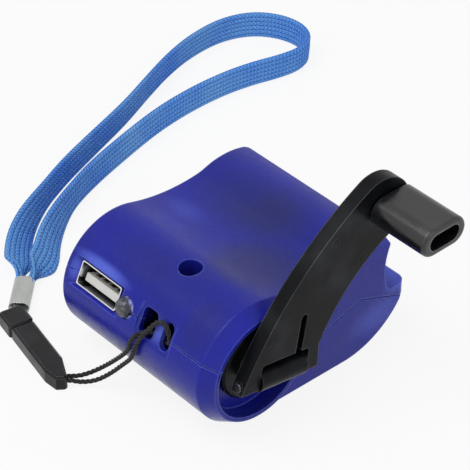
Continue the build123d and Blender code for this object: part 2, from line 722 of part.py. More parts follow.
def toothed_wheel(teeth, phase):
    """Involute wheel centred on its own origin, with a tooth pointing at the phase angle."""
    pitch_r = MODULE * teeth / 2
    base_r = pitch_r * math.cos(math.radians(PRESSURE_DEG))
    root_r = pitch_r - DEDENDUM
    tip_r = pitch_r + ADDENDUM
    foot_r = max(base_r, root_r)
    pressure = math.radians(PRESSURE_DEG)
    half_pitch = math.pi / (2 * teeth) - BACKLASH / (2 * pitch_r) + math.tan(pressure) - pressure
    flank = []
    for radius in (foot_r, (foot_r + tip_r) / 2, tip_r):
        roll = math.acos(min(1.0, base_r / radius))
        flank.append((radius, half_pitch - math.tan(roll) + roll))
    if root_r < foot_r:
        flank.insert(0, (root_r, flank[0][1]))
    tooth = [(radius, -angle) for radius, angle in flank]
    tooth += [(radius, angle) for radius, angle in reversed(flank)]
    points = []
    for index in range(teeth):
        centre = phase + 2 * math.pi * index / teeth
        points += [
            (radius * math.cos(centre + angle), radius * math.sin(centre + angle))
            for radius, angle in tooth
        ]
    with BuildSketch() as outline:
        with BuildLine():
            Polyline(*points, close=True)
        make_face()
    return outline.sketch


def axis_plane(centre, y):
    """Side-view plane at a depth with its origin on a gear's axis."""
    return Plane(origin=(centre[0], y, centre[1]), x_dir=(1, 0, 0), z_dir=(0, -1, 0))


with BuildPart() as drive_gear:
    with BuildSketch(axis_plane(drive_axis, DRIVE_END_Y)):
        add(toothed_wheel(DRIVE_TEETH, idler_angle))
    extrude(amount=DRIVE_FACE)
    with BuildSketch(hub_plane(DRIVE_END_Y)):
        add(keyed_section())
    extrude(amount=DRIVE_FACE, mode=Mode.SUBTRACT)
save(drive_gear, "drive_gear")

with BuildPart() as compound_gear:
    with BuildSketch(axis_plane(idler_axis, WHEEL_Y)):
        add(toothed_wheel(PINION_TEETH, idler_angle + math.pi + math.pi / PINION_TEETH))
    extrude(amount=WHEEL_Y - DRIVE_Y)
    with BuildSketch(axis_plane(idler_axis, WHEEL_END_Y)):
        add(toothed_wheel(WHEEL_TEETH, second_angle))
    extrude(amount=WHEEL_FACE)
    with BuildSketch(axis_plane(idler_axis, PLATE_Y - FACE_GAP)):
        Circle(AXLE_BOSS_R)
    extrude(amount=PLATE_Y - FACE_GAP - WHEEL_END_Y)
    with BuildSketch(axis_plane(idler_axis, PLATE_Y)):
        Circle(AXLE_R + RUNNING_FIT)
    extrude(amount=DEPTH, mode=Mode.SUBTRACT)
save(compound_gear, "compound_gear")

with BuildPart() as idler_axle:
    with BuildSketch(axis_plane(idler_axis, PLATE_END_Y)):
        Circle(AXLE_R)
    extrude(amount=PLATE_END_Y - DISH_Y - FRONT_WALL / 2)
save(idler_axle, "idler_axle")

with BuildPart() as gear_plate:
    with BuildSketch(side_plane(PLATE_END_Y)):
        with Locations(idler_axis, *posts):
            Circle(POST_R + PLATE_RIM)
        with Locations(rotor_axis):
            Circle(NOSE_RING_R + 2 * PLATE_RIM)
        make_hull()
    extrude(amount=PLATE)
    for centre, radius in (
        (rotor_axis, NOSE_RING_R),
        (idler_axis, AXLE_R),
        *((post, SCREW_R) for post in posts),
    ):
        with BuildSketch(axis_plane(centre, PLATE_END_Y)):
            Circle(radius)
        extrude(amount=PLATE, mode=Mode.SUBTRACT)
    with BuildSketch(side_plane(PLATE_END_Y)):
        with Locations(*posts):
            Circle(SCREW_HEAD_R)
    extrude(amount=SCREW_HEAD, mode=Mode.SUBTRACT)
save(gear_plate, "gear_plate")

for number, post in enumerate(posts, 1):
    with BuildPart() as plate_screw:
        with BuildSketch(axis_plane(post, PLATE_END_Y)):
            Circle(SCREW_R)
        extrude(amount=SCREW_LENGTH)
        with BuildSketch(axis_plane(post, PLATE_END_Y)):
            Circle(SCREW_HEAD_R)
        extrude(amount=SCREW_HEAD)
    save(plate_screw, f"plate_screw_{number}")

# ---------------------------------------------------------------- dynamo
can_end_y = PLATE_END_Y + CAN_LENGTH
with BuildPart() as dynamo_can:
    with BuildSketch(axis_plane(rotor_axis, can_end_y)):
        Circle(CAN_R)
    extrude(amount=CAN_LENGTH)
    with BuildSketch(axis_plane(rotor_axis, PLATE_END_Y)):
        Circle(NOSE_RING_R)
    extrude(amount=NOSE_RING)
    with BuildSketch(axis_plane(rotor_axis, can_end_y)):
        Circle(CAN_R - CAN_WALL)
    extrude(amount=CAN_LENGTH - CAN_WALL, mode=Mode.SUBTRACT)
    with BuildSketch(axis_plane(rotor_axis, can_end_y)):
        Circle(ROTOR_SHAFT_R + RUNNING_FIT)
    extrude(amount=DEPTH, mode=Mode.SUBTRACT)
save(dynamo_can, "dynamo_can")

with BuildPart() as dynamo_cap:
    with BuildSketch(axis_plane(rotor_axis, can_end_y + CAP_LENGTH)):
        Circle(CAN_R)
    extrude(amount=CAP_LENGTH)
    chamfer(dynamo_cap.faces().sort_by(Axis.Y)[-1].edges(), CAN_WALL / 2)
    with BuildSketch(axis_plane(rotor_axis, can_end_y + CAP_LENGTH)):
        Circle(ROTOR_SHAFT_R + RUNNING_FIT)
    extrude(amount=DEPTH, mode=Mode.SUBTRACT)
save(dynamo_cap, "dynamo_cap")

shaft_start_y = WHEEL_Y - FACE_GAP - WHEEL_OVERHANG
with BuildPart() as dynamo_shaft:
    with BuildSketch(axis_plane(rotor_axis, can_end_y + CAP_LENGTH)):
        Circle(ROTOR_SHAFT_R)
    extrude(amount=can_end_y + CAP_LENGTH - shaft_start_y)
save(dynamo_shaft, "dynamo_shaft")

with BuildPart() as dynamo_pinion:
    with BuildSketch(axis_plane(rotor_axis, WHEEL_END_Y + WHEEL_OVERHANG)):
        add(toothed_wheel(PINION_TEETH, second_angle + math.pi + math.pi / PINION_TEETH))
        Circle(ROTOR_SHAFT_R, mode=Mode.SUBTRACT)
    extrude(amount=WHEEL_FACE + 2 * WHEEL_OVERHANG)
save(dynamo_pinion, "dynamo_pinion")

core_end_y = (PLATE_END_Y + can_end_y + CORE_LENGTH) / 2
with BuildPart() as armature:
    with BuildSketch(axis_plane(rotor_axis, core_end_y)):
        Circle(CORE_R)
        with PolarLocations(CORE_R, CORE_SLOTS):
            Rectangle(2 * CORE_SLOT_DEPTH, CORE_SLOT_WIDTH, mode=Mode.SUBTRACT)
        Circle(ROTOR_SHAFT_R, mode=Mode.SUBTRACT)
    extrude(amount=CORE_LENGTH)
save(armature, "armature")

# ---------------------------------------------------------------- circuit, socket and lamp
board_top = -USB_HEIGHT / 2
board_front = lamp_seat - BOARD_SETBACK
with BuildPart() as circuit_board:
    with BuildSketch(NOSE.offset(BOARD_BACK)):
        with Locations((-sum(BOARD_Y) / 2, board_top - BOARD / 2)):
            Rectangle(BOARD_Y[1] - BOARD_Y[0], BOARD)
    extrude(amount=board_front - BOARD_BACK)
save(circuit_board, "circuit_board")

with BuildPart() as usb_shell:
    with BuildSketch(NOSE.offset(USB_MOUTH - USB_LENGTH)):
        with Locations((-USB_Y, 0)):
            RectangleRounded(USB_WIDTH, USB_HEIGHT, USB_CORNER_R)
    extrude(amount=USB_LENGTH)
    with BuildSketch(NOSE.offset(USB_MOUTH - USB_LENGTH + USB_SHEET)):
        with Locations((-USB_Y, 0)):
            RectangleRounded(
                USB_WIDTH - 2 * USB_SHEET, USB_HEIGHT - 2 * USB_SHEET, USB_CORNER_R - USB_SHEET / 2
            )
    extrude(amount=USB_LENGTH, mode=Mode.SUBTRACT)
save(usb_shell, "usb_shell")

tongue_v = TONGUE_SIDE * (USB_HEIGHT / 2 - USB_SHEET - TONGUE_GAP - TONGUE / 2)
insert_back = USB_MOUTH - USB_LENGTH + USB_SHEET
with BuildPart() as usb_tongue:
    with BuildSketch(NOSE.offset(insert_back)):
        with Locations((-USB_Y, 0)):
            Rectangle(USB_WIDTH - 4 * USB_SHEET, USB_HEIGHT - 4 * USB_SHEET)
    extrude(amount=TONGUE_ROOT)
    with BuildSketch(NOSE.offset(insert_back)):
        with Locations((-USB_Y, tongue_v)):
            Rectangle(TONGUE_WIDTH, TONGUE)
    extrude(amount=TONGUE_LENGTH)
save(usb_tongue, "usb_tongue")

for number in range(CONTACTS):
    contact_x = -USB_Y + (number - (CONTACTS - 1) / 2) * CONTACT_PITCH
    with BuildPart() as usb_contact:
        with BuildSketch(NOSE.offset(insert_back + TONGUE_ROOT)):
            with Locations((contact_x, tongue_v - TONGUE_SIDE * (TONGUE + CONTACT) / 2)):
                Rectangle(CONTACT_WIDTH, CONTACT)
        extrude(amount=TONGUE_LENGTH - TONGUE_ROOT - CONTACT_SETBACK)
    save(usb_contact, f"usb_contact_{number + 1}")

with BuildPart() as lamp:
    with BuildSketch(NOSE.offset(lamp_seat - LAMP_FLANGE)):
        with Locations((-LAMP_Y, 0)):
            Circle(LAMP_FLANGE_R)
    extrude(amount=LAMP_FLANGE)
    with BuildSketch(NOSE.offset(lamp_seat)):
        with Locations((-LAMP_Y, 0)):
            Circle(LAMP_R)
    extrude(amount=LAMP_BARREL)
    with Locations(NOSE.offset(lamp_seat + LAMP_BARREL) * Location((-LAMP_Y, 0, 0))):
        Sphere(LAMP_R)
save(lamp, "lamp")

for number, side in enumerate((-1, 1), 1):
    lead_x = -LAMP_Y + side * LEAD_PITCH / 2
    with BuildPart() as lamp_lead:
        with BuildLine(NOSE.shift_origin(NOSE.from_local_coords((lead_x, 0, 0)))):
            FilletPolyline(
                (0, 0, lamp_seat - LAMP_FLANGE),
                (0, 0, lamp_seat - LAMP_FLANGE - LEAD_RUN),
                (0, board_top, lamp_seat - LAMP_FLANGE - LEAD_RUN),
                radius=2 * LEAD_R,
            )
        with BuildSketch(NOSE.offset(lamp_seat - LAMP_FLANGE)):
            with Locations((lead_x, 0)):
                Circle(LEAD_R)
        sweep()
    save(lamp_lead, f"lamp_lead_{number}")

BOARD_TOP = Plane(
    origin=tuple(NOSE.from_local_coords((0, board_top, 0))), x_dir=(0, -1, 0), z_dir=tuple(NOSE.y_dir)
)  # local y runs from the nose back into the housing


with BuildPart() as capacitor:
    with BuildSketch(BOARD_TOP):
        with Locations((-CAPACITOR_AT[0], CAPACITOR_AT[1])):
            Circle(CAPACITOR_R)
    extrude(amount=CAPACITOR_LENGTH)
    chamfer(capacitor.edges().filter_by(GeomType.CIRCLE), CAPACITOR_R / 10)
save(capacitor, "capacitor")

with BuildPart() as coil:
    with BuildSketch(BOARD_TOP):
        with Locations((-COIL_AT[0], COIL_AT[1])):
            Circle(COIL_R)
    extrude(amount=COIL_LENGTH)
    with BuildSketch(BOARD_TOP.offset(COIL_FLANGE)):
        with Locations((-COIL_AT[0], COIL_AT[1])):
            Circle(COIL_R)
            Circle(COIL_R - COIL_FLANGE, mode=Mode.SUBTRACT)
    extrude(amount=COIL_LENGTH - 2 * COIL_FLANGE, mode=Mode.SUBTRACT)
save(coil, "coil")

with BuildPart() as regulator:
    with BuildSketch(BOARD_TOP):
        with Locations((-CHIP_AT[0], CHIP_AT[1])):
            Rectangle(CHIP[0], CHIP[1])
    extrude(amount=CHIP[2])
save(regulator, "regulator")

# ---------------------------------------------------------------- clip
clip_run = Vector(CLIP_END[0] - CLIP_START[0], CLIP_END[1] - CLIP_START[1], 0)
CLIP = Plane(origin=(*CLIP_START, 0), x_dir=tuple(clip_run.normalized()), z_dir=(0, 0, 1))
CLIP_MID = Plane(
    origin=tuple(CLIP.from_local_coords((0, 0, CLIP_HEIGHT / 2))),
    x_dir=tuple(CLIP.x_dir),
    z_dir=(0, 0, 1),
)
ferrule_run = Vector(
    FERRULE_END[0] - FERRULE_START[0], FERRULE_END[1] - FERRULE_START[1], 0
)
FERRULE = Plane(
    origin=(*FERRULE_START, FERRULE_HEIGHT / 2),
    x_dir=tuple(ferrule_run.normalized().rotate(Axis.Z, 90)),
    z_dir=tuple(ferrule_run),
)  # local x points left, y up and z along the ferrule
clip_mid = (CLIP_LEFT + CLIP_RIGHT) / 2
prong_sides = (clip_mid - PRONG_PITCH / 2, clip_mid + PRONG_PITCH / 2)


def prong_section(fit):
    """Both prongs in the clip's plan, wider and longer by a fit."""
    with BuildSketch() as prongs:
        with Locations(*((CLIP_SPLIT + PRONG[0] / 2, side) for side in prong_sides)):
            Rectangle(PRONG[0] + 2 * fit, PRONG[1] + 2 * fit)
    return prongs.sketch


with BuildPart() as clip_body:
    with BuildSketch(CLIP) as clip_outline:
        with BuildLine():
            Polyline(
                (CLIP_SPLIT, CLIP_RIGHT),
                (CLIP_SPLIT, CLIP_LEFT),
                (NECK_LENGTH / 2, CLIP_LEFT),
                (0, NECK_HALF),
                (-NECK_HALF, -NECK_HALF),
                (NECK_LENGTH - NECK_HALF, CLIP_RIGHT),
                close=True,
            )
        make_face()
        fillet(clip_outline.vertices().group_by(Axis.X)[0], CLIP_CORNER_R)
    extrude(amount=CLIP_HEIGHT)
    chamfer(clip_body.faces().sort_by(Axis.Z)[-1].edges(), CLIP_CHAMFER)
    with BuildSketch(CLIP_MID.offset(-PRONG[2] / 2)):
        add(prong_section(0))
    extrude(amount=PRONG[2])
save(clip_body, "clip_body")

with BuildPart() as clip_cap:
    with BuildSketch(CLIP) as cap_outline:
        with Locations(
            ((CLIP_SPLIT + CLIP_GAP + clip_run.length) / 2, (CAP_LEFT + CAP_RIGHT) / 2)
        ):
            RectangleRounded(
                clip_run.length - CLIP_SPLIT - CLIP_GAP, CAP_LEFT - CAP_RIGHT, CLIP_CORNER_R
            )
    extrude(amount=CLIP_HEIGHT)
    chamfer(clip_cap.faces().sort_by(Axis.Z)[-1].edges(), CLIP_CHAMFER)
    with BuildSketch(CLIP_MID.offset(-PRONG[2] / 2 - PRONG_FIT)):
        add(prong_section(PRONG_FIT))
    extrude(amount=PRONG[2] + 2 * PRONG_FIT, mode=Mode.SUBTRACT)
    with BuildSketch(FERRULE.offset(-TAB_LENGTH)):
        Rectangle(TAB_WIDTH, TAB)
    extrude(amount=ferrule_run.length, mode=Mode.SUBTRACT)
save(clip_cap, "clip_cap")

with BuildPart() as strap_ferrule:
    with BuildSketch(FERRULE):
        SlotOverall(FERRULE_WIDTH, FERRULE_HEIGHT)
    extrude(amount=ferrule_run.length)
    with BuildSketch(FERRULE.offset(FERRULE_WALL * 2)):
        Rectangle(
            2 * NECK[0] + 2 * NECK_FIT + NECK_SPLIT, NECK[1] + 2 * NECK_FIT
        )
    extrude(amount=ferrule_run.length, mode=Mode.SUBTRACT)
    with BuildSketch(FERRULE.offset(-TAB_LENGTH)):
        Rectangle(TAB_WIDTH, TAB)
    extrude(amount=TAB_LENGTH)
save(strap_ferrule, "strap_ferrule")


# ---------------------------------------------------------------- cord and strap
def corner_radii(points):
    """Radius of the arc at each inner point: as large as its two runs allow."""
    radii = []
    for before, here, after in zip(points, points[1:], points[2:]):
        arriving = Vector(*here) - Vector(*before)
        leaving = Vector(*after) - Vector(*here)
        half_turn = math.radians(arriving.get_angle(leaving)) / 2
        radii.append(ROUNDING * min(arriving.length, leaving.length) / math.tan(half_turn))
    return radii


def nose_point(y, up, out):
    """World point from a depth, a height up the nose and a distance out of the hub axis."""
    return tuple(NOSE.from_local_coords((-y, up, out)))


CORD_ROUTE = (
    (-39.7, 12.5, 1.7),
    (-38.3, 11.9, 1.7),
    (-36.8, 10.3, 1.2),
    (-34.4, 7.9, 1.7),
    (-32.2, 5.4, 4.1),
    (-30.9, 2.2, 8.3),
    (-30.9, -0.5, 11.6),
    (-31.1, -1.7, 15.0),
    nose_point(-3.1, -3.3, 15.7),
    nose_point(-4.5, -0.5, 15.5),
    nose_point(-5.6, 1.9, 15.1),
    nose_point(-7.2, 2.7, 15.1),
    nose_point(-8.8, 2.1, 15.0),
    nose_point(-9.5, 0.4, 14.3),
    nose_point(-9.3, -1.3, 13.3),
    nose_point(-8.1, -2.1, 12.1),
    nose_point(-6.3, -2.2, 11.8),
    nose_point(-4.4, -2.0, 12.2),
    nose_point(-3.0, -2.0, 13.5),
    nose_point(-1.9, -2.9, 15.2),
    nose_point(-0.9, -5.0, 15.8),
    (-31.1, 0.2, 13.6),
    (-31.0, 2.5, 10.6),
    (-31.2, 5.2, 7.4),
    (-31.9, 8.0, 4.3),
    (-33.6, 10.3, 2.1),
    (-35.8, 11.9, 1.3),
    (-37.6, 13.1, 1.6),
    (-39.2, 13.8, 1.7),
)
cord_radii = corner_radii(CORD_ROUTE)
with BuildPart() as strap_cord:
    with BuildLine() as cord_path:
        FilletPolyline(*CORD_ROUTE, radius=cord_radii)
    with BuildSketch(Plane(origin=cord_path.line @ 0, z_dir=cord_path.line % 0)):
        RegularPolygon(CORD_R, CORD_SIDES)
    sweep()
save(strap_cord, "strap_cord")

STRAP_ROUTE = (
    (-20.6, 53.2),
    (-15.2, 58.6),
    (-7.0, 63.5),
    (5.9, 69.6),
    (19.6, 74.4),
    (33.4, 79.1),
    (44.6, 84.0),
    (55.5, 88.4),
    (65.5, 91.0),
    (76.0, 91.6),
    (84.4, 88.6),
    (89.2, 82.6),
    (90.6, 75.6),
    (88.2, 69.8),
    (82.5, 67.6),
    (76.0, 68.6),
    (68.8, 70.8),
    (59.5, 72.3),
    (48.4, 72.4),
    (37.0, 71.2),
    (24.4, 68.2),
    (11.9, 64.8),
    (2.4, 61.2),
    (-5.8, 56.7),
    (-12.0, 52.4),
    (-16.6, 47.7),
)
strap_radii = corner_radii([(*point, 0) for point in STRAP_ROUTE])
with BuildPart() as strap:
    with BuildLine() as strap_path:
        FilletPolyline(*STRAP_ROUTE, radius=strap_radii)
    strap_start = Plane(origin=strap_path.line @ 0, x_dir=(0, 0, 1), z_dir=strap_path.line % 0)
    strap_end = Plane(origin=strap_path.line @ 1, x_dir=(0, 0, 1), z_dir=-(strap_path.line % 1))
    with BuildSketch(strap_start):
        with Locations((STRAP_WIDTH / 2, 0)):
            Rectangle(STRAP_WIDTH, STRAP)
    sweep(path=strap_path.line)
    for side, root in ((1, strap_start), (-1, strap_end)):
        with BuildSketch(root):
            with Locations((STRAP_WIDTH / 2, 0)):
                Rectangle(STRAP_WIDTH, STRAP)
        neck_x = side * (NECK[0] + NECK_SPLIT) / 2
        neck_plane = Plane(
            origin=tuple(FERRULE.from_local_coords((neck_x, 0, ferrule_run.length))),
            x_dir=(0, 0, 1),
            z_dir=tuple(ferrule_run),
        )
        with BuildSketch(neck_plane):
            Rectangle(NECK[1], NECK[0])
        loft(ruled=True)
        with BuildSketch(neck_plane):
            Rectangle(NECK[1], NECK[0])
        extrude(amount=-(ferrule_run.length - FERRULE_WALL * 2))
save(strap, "strap")
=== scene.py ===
"""Looks of the hand crank phone charger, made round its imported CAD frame.

The housing's two halves, the crank, the gear train and the fittings are the CAD nodes with finishes
of their own. The wrist strap, the clip's cord and the lamp's inner posts are made here.
Everything is in the frame of the CAD model, in metres or, where it is said, in millimetres.
"""

import json
import logging
import math
from dataclasses import dataclass
from enum import Enum
from typing import Sequence

import bmesh
import bpy
from mathutils import Matrix, Vector


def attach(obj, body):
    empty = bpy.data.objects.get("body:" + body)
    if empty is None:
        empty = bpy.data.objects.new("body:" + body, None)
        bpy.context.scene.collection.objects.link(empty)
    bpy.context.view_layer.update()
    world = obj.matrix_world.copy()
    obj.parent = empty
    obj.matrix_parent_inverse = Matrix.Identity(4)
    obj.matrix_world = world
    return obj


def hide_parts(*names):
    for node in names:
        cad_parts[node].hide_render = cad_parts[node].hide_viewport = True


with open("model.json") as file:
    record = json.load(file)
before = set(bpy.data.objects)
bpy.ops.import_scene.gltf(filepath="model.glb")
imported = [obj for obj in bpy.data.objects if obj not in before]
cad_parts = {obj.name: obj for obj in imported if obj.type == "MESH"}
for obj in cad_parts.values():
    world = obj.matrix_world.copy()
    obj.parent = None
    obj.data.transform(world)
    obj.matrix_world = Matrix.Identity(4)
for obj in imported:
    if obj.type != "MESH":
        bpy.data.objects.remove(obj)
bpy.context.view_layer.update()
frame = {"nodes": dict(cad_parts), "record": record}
LOG = logging.getLogger("charger")

MM = 0.001
PATTERN_LOW, PATTERN_HIGH = 0.3, 0.7  # most of a noise pattern lies between these
HUB = Vector((-15.0, 0.0, 15.0))  # on the crank's axis, in millimetres
NOSE_DEG = 25.6  # the socket looks up from -X by this angle

Point = tuple[float, float, float]
Colour = tuple[float, float, float, float]
Socket = bpy.types.NodeSocket
WHITE: Colour = (1.0, 1.0, 1.0, 1.0)


def nose_point(y: float, up: float, out: float) -> Point:
    """Find a point near the nose, in millimetres.

    Args:
        y: Depth along the crank's axis.
        up: Height up the nose's slanting face.
        out: Distance out of the hub axis, along the socket's direction.

    Returns:
        The point in the frame of the CAD model.
    """
    slant = math.radians(NOSE_DEG)
    x = HUB.x - out * math.cos(slant) + up * math.sin(slant)
    z = HUB.z + out * math.sin(slant) + up * math.cos(slant)
    return (x, y, z)


NOSE_OUT = (Vector(nose_point(0.0, 0.0, 1.0)) - HUB).normalized()


# ------------------------------------------------------------------ node graphs
class Graph:
    """A node tree under construction, with short calls for what the trees share."""

    def __init__(self, tree: bpy.types.NodeTree) -> None:
        """Empty the tree and keep it."""
        self.tree = tree
        self.tree.nodes.clear()

    def feed(self, socket: Socket, value: object) -> None:
        """Link a socket, or set its value where the source isn't a socket.

        Args:
            socket: The input to feed.
            value: An output of another node, or a plain value.
        """
        if isinstance(value, bpy.types.NodeSocket):
            self.tree.links.new(value, socket)
        else:
            socket.default_value = value

    def add(self, kind: str, inputs: dict | None = None, **settings: object) -> bpy.types.Node:
        """Add a node.

        Args:
            kind: Blender's name of the node type.
            inputs: Values or sockets by input name or index.
            settings: Properties of the node.

        Returns:
            The new node.
        """
        node = self.tree.nodes.new(kind)
        for key, value in settings.items():
            setattr(node, key, value)
        for key, value in (inputs or {}).items():
            self.feed(node.inputs[key], value)
        return node

    def math(self, operation: str, first: object, second: object = 0.0) -> Socket:
        """Return the result of a sum on one or two numbers."""
        return self.add("ShaderNodeMath", {0: first, 1: second}, operation=operation).outputs[0]

    def vector(self, operation: str, first: object, second: object = (0.0, 0.0, 0.0)) -> Socket:
        """Return the result of a sum on vectors; a length and a dot product are numbers."""
        node = self.add("ShaderNodeVectorMath", {0: first, 1: second}, operation=operation)
        return node.outputs["Value" if operation in ("LENGTH", "DOT_PRODUCT") else "Vector"]


class ShaderGraph(Graph):
    """The node tree of a material, with what only a shader has."""

    def place(self) -> Socket:
        """Return the point on the piece, in metres."""
        return self.add("ShaderNodeTexCoord").outputs["Object"]

    def about(self, place: Socket, foot: Vector, axis: Vector) -> tuple[Socket, Socket]:
        """Measure from an axis.

        Args:
            place: The point on the piece.
            foot: Where the axis starts, in metres.
            axis: Direction of the axis.

        Returns:
            How far the point is along the axis, and how far away from it.
        """
        offset = self.vector("SUBTRACT", place, tuple(foot))
        along = self.vector("DOT_PRODUCT", offset, tuple(axis))
        away = self.vector("LENGTH", self.vector("CROSS_PRODUCT", offset, tuple(axis)))
        return along, away

    def share(
        self, value: object, low: float, high: float, start: float = 0.0, end: float = 1.0
    ) -> Socket:
        """Turn a number into a smooth share.

        Args:
            value: The number's socket.
            low: Number at which the share starts.
            high: Number at which the share ends.
            start: Share at the low number.
            end: Share at the high number.

        Returns:
            The share's socket.
        """
        node = self.add(
            "ShaderNodeMapRange",
            {"Value": value, "From Min": low, "From Max": high, "To Min": start, "To Max": end},
            interpolation_type="SMOOTHSTEP",
        )
        return node.outputs["Result"]

    def vary(self, pattern: object, start: float, end: float) -> Socket:
        """Return a number that a noise pattern moves between two limits."""
        return self.share(pattern, PATTERN_LOW, PATTERN_HIGH, start, end)

    def noise(self, where: object, scale: float, detail: float = 3.0) -> Socket:
        """Return a soft cloud pattern with so many clouds to the metre."""
        node = self.add("ShaderNodeTexNoise", {"Vector": where, "Scale": scale, "Detail": detail})
        return node.outputs[0]

    def mix(self, share: object, first: object, second: object) -> Socket:
        """Return a colour between two."""
        node = self.add("ShaderNodeMix", {0: share, 6: first, 7: second}, data_type="RGBA")
        return node.outputs[2]

    def edges(self, radius: float) -> tuple[Socket, Socket]:
        """Round the edges in the light.

        Args:
            radius: Radius of the rounding.

        Returns:
            The rounded normal, and a mask that is 1 on the edges.
        """
        bevel = self.add("ShaderNodeBevel", {"Radius": radius}, samples=6)
        along = self.vector("DOT_PRODUCT", bevel.outputs["Normal"], self.normal())
        return bevel.outputs["Normal"], self.share(along, 0.995, 0.86)

    def bump(self, height: object, distance: float, normal: object) -> Socket:
        """Return a normal that a height pattern has roughened."""
        inputs = {"Height": height, "Distance": distance, "Normal": normal, "Strength": 1.0}
        return self.add("ShaderNodeBump", inputs).outputs["Normal"]

    def normal(self) -> Socket:
        """Return the piece's own normal."""
        return self.add("ShaderNodeNewGeometry").outputs["Normal"]

    def surface(self, inputs: dict) -> None:
        """Finish the graph with one principled surface."""
        shader = self.add("ShaderNodeBsdfPrincipled", inputs)
        self.add("ShaderNodeOutputMaterial", {"Surface": shader.outputs[0]})


def rgb(red: float, green: float, blue: float) -> Colour:
    """Turn a colour as seen on a screen, 0 to 255, into Blender's linear colour."""
    linear = [((v / 255 + 0.055) / 1.055) ** 2.4 for v in (red, green, blue)]
    return (*linear, 1.0)


# ------------------------------------------------------------------ finishes
@dataclass(frozen=True)
class Finish:
    """A surface finish; name is also the name of its material."""

    name: str

    def dress(self, graph: ShaderGraph) -> None:
        """Draw the finish's nodes."""
        raise NotImplementedError

    def material(self) -> bpy.types.Material:
        """Find the finish's material, and make it at the first call.

        Returns:
            The material, the same at every call.
        """
        found = bpy.data.materials.get(self.name)
        if found is None:
            found = bpy.data.materials.new(self.name)
            found.use_nodes = True
            self.dress(ShaderGraph(found.node_tree))
        return found


@dataclass(frozen=True)
class Moulded(Finish):
    """Opaque moulded plastic with a fine satin grain, and paler edges that are partly worn by
    rubbing and partly a painted highlight.
    """

    colour: Colour
    # paler colour of the random clouds and of the edges, where it is partly rubbing wear and partly
    # a painted highlight
    pale_colour: Colour
    roughness: float = 0.36
    shine: float = 0.09
    grain: float = 0.00002
    edge: float = 0.00025
    pin_marks: tuple[tuple[float, float], ...] = ()  # X and Z of the rings left by ejector pins
    pin_ring: float = 0.0011
    ring_width: float = 0.00025
    ring_depth: float = 3.0  # in depths of the grain
    cloud_scale: float = 90.0
    grain_scale: float = 3200.0
    polish_scale: float = 260.0
    uneven: float = 0.07  # how far the roughness strays

    def dress(self, graph: ShaderGraph) -> None:
        """Draw the finish's nodes.

        Args:
            graph: The empty graph of the finish's material.
        """
        place = graph.place()
        rounded, edge = graph.edges(self.edge)
        cloud = graph.noise(place, self.cloud_scale)
        # paler edges: partly rubbing wear, partly a painted highlight
        wear_and_highlight = graph.math("MULTIPLY", edge, graph.vary(cloud, 0.45, 1.0))
        tint = graph.mix(graph.share(cloud, 0.4, 0.8, 0.0, 0.12), self.colour, self.pale_colour)
        height = graph.noise(place, self.grain_scale, 2.0)
        for x, z in self.pin_marks:
            offset = graph.vector("SUBTRACT", place, (x * MM, 0.0, z * MM))
            flat = graph.vector("MULTIPLY", offset, (1.0, 0.0, 1.0))
            away = graph.math("SUBTRACT", graph.vector("LENGTH", flat), self.pin_ring)
            apart = graph.math("ABSOLUTE", away)
            ring = graph.share(apart, 0.0, self.ring_width, self.ring_depth, 0.0)
            height = graph.math("SUBTRACT", height, ring)
        polish = graph.noise(place, self.polish_scale)
        rough = graph.vary(polish, self.roughness - self.uneven, self.roughness + self.uneven)
        graph.surface(
            {
                "Base Color": graph.mix(wear_and_highlight, tint, self.pale_colour),
                "Roughness": rough,
                "Specular IOR Level": self.shine,
                "Normal": graph.bump(height, self.grain, rounded),
            }
        )


@dataclass(frozen=True)
class WallSpot:
    """A soft spot on the tinted wall, in millimetres: painted shade over an inner part, or painted
    light.
    """

    centre: Point
    reach: Point
    depth: float


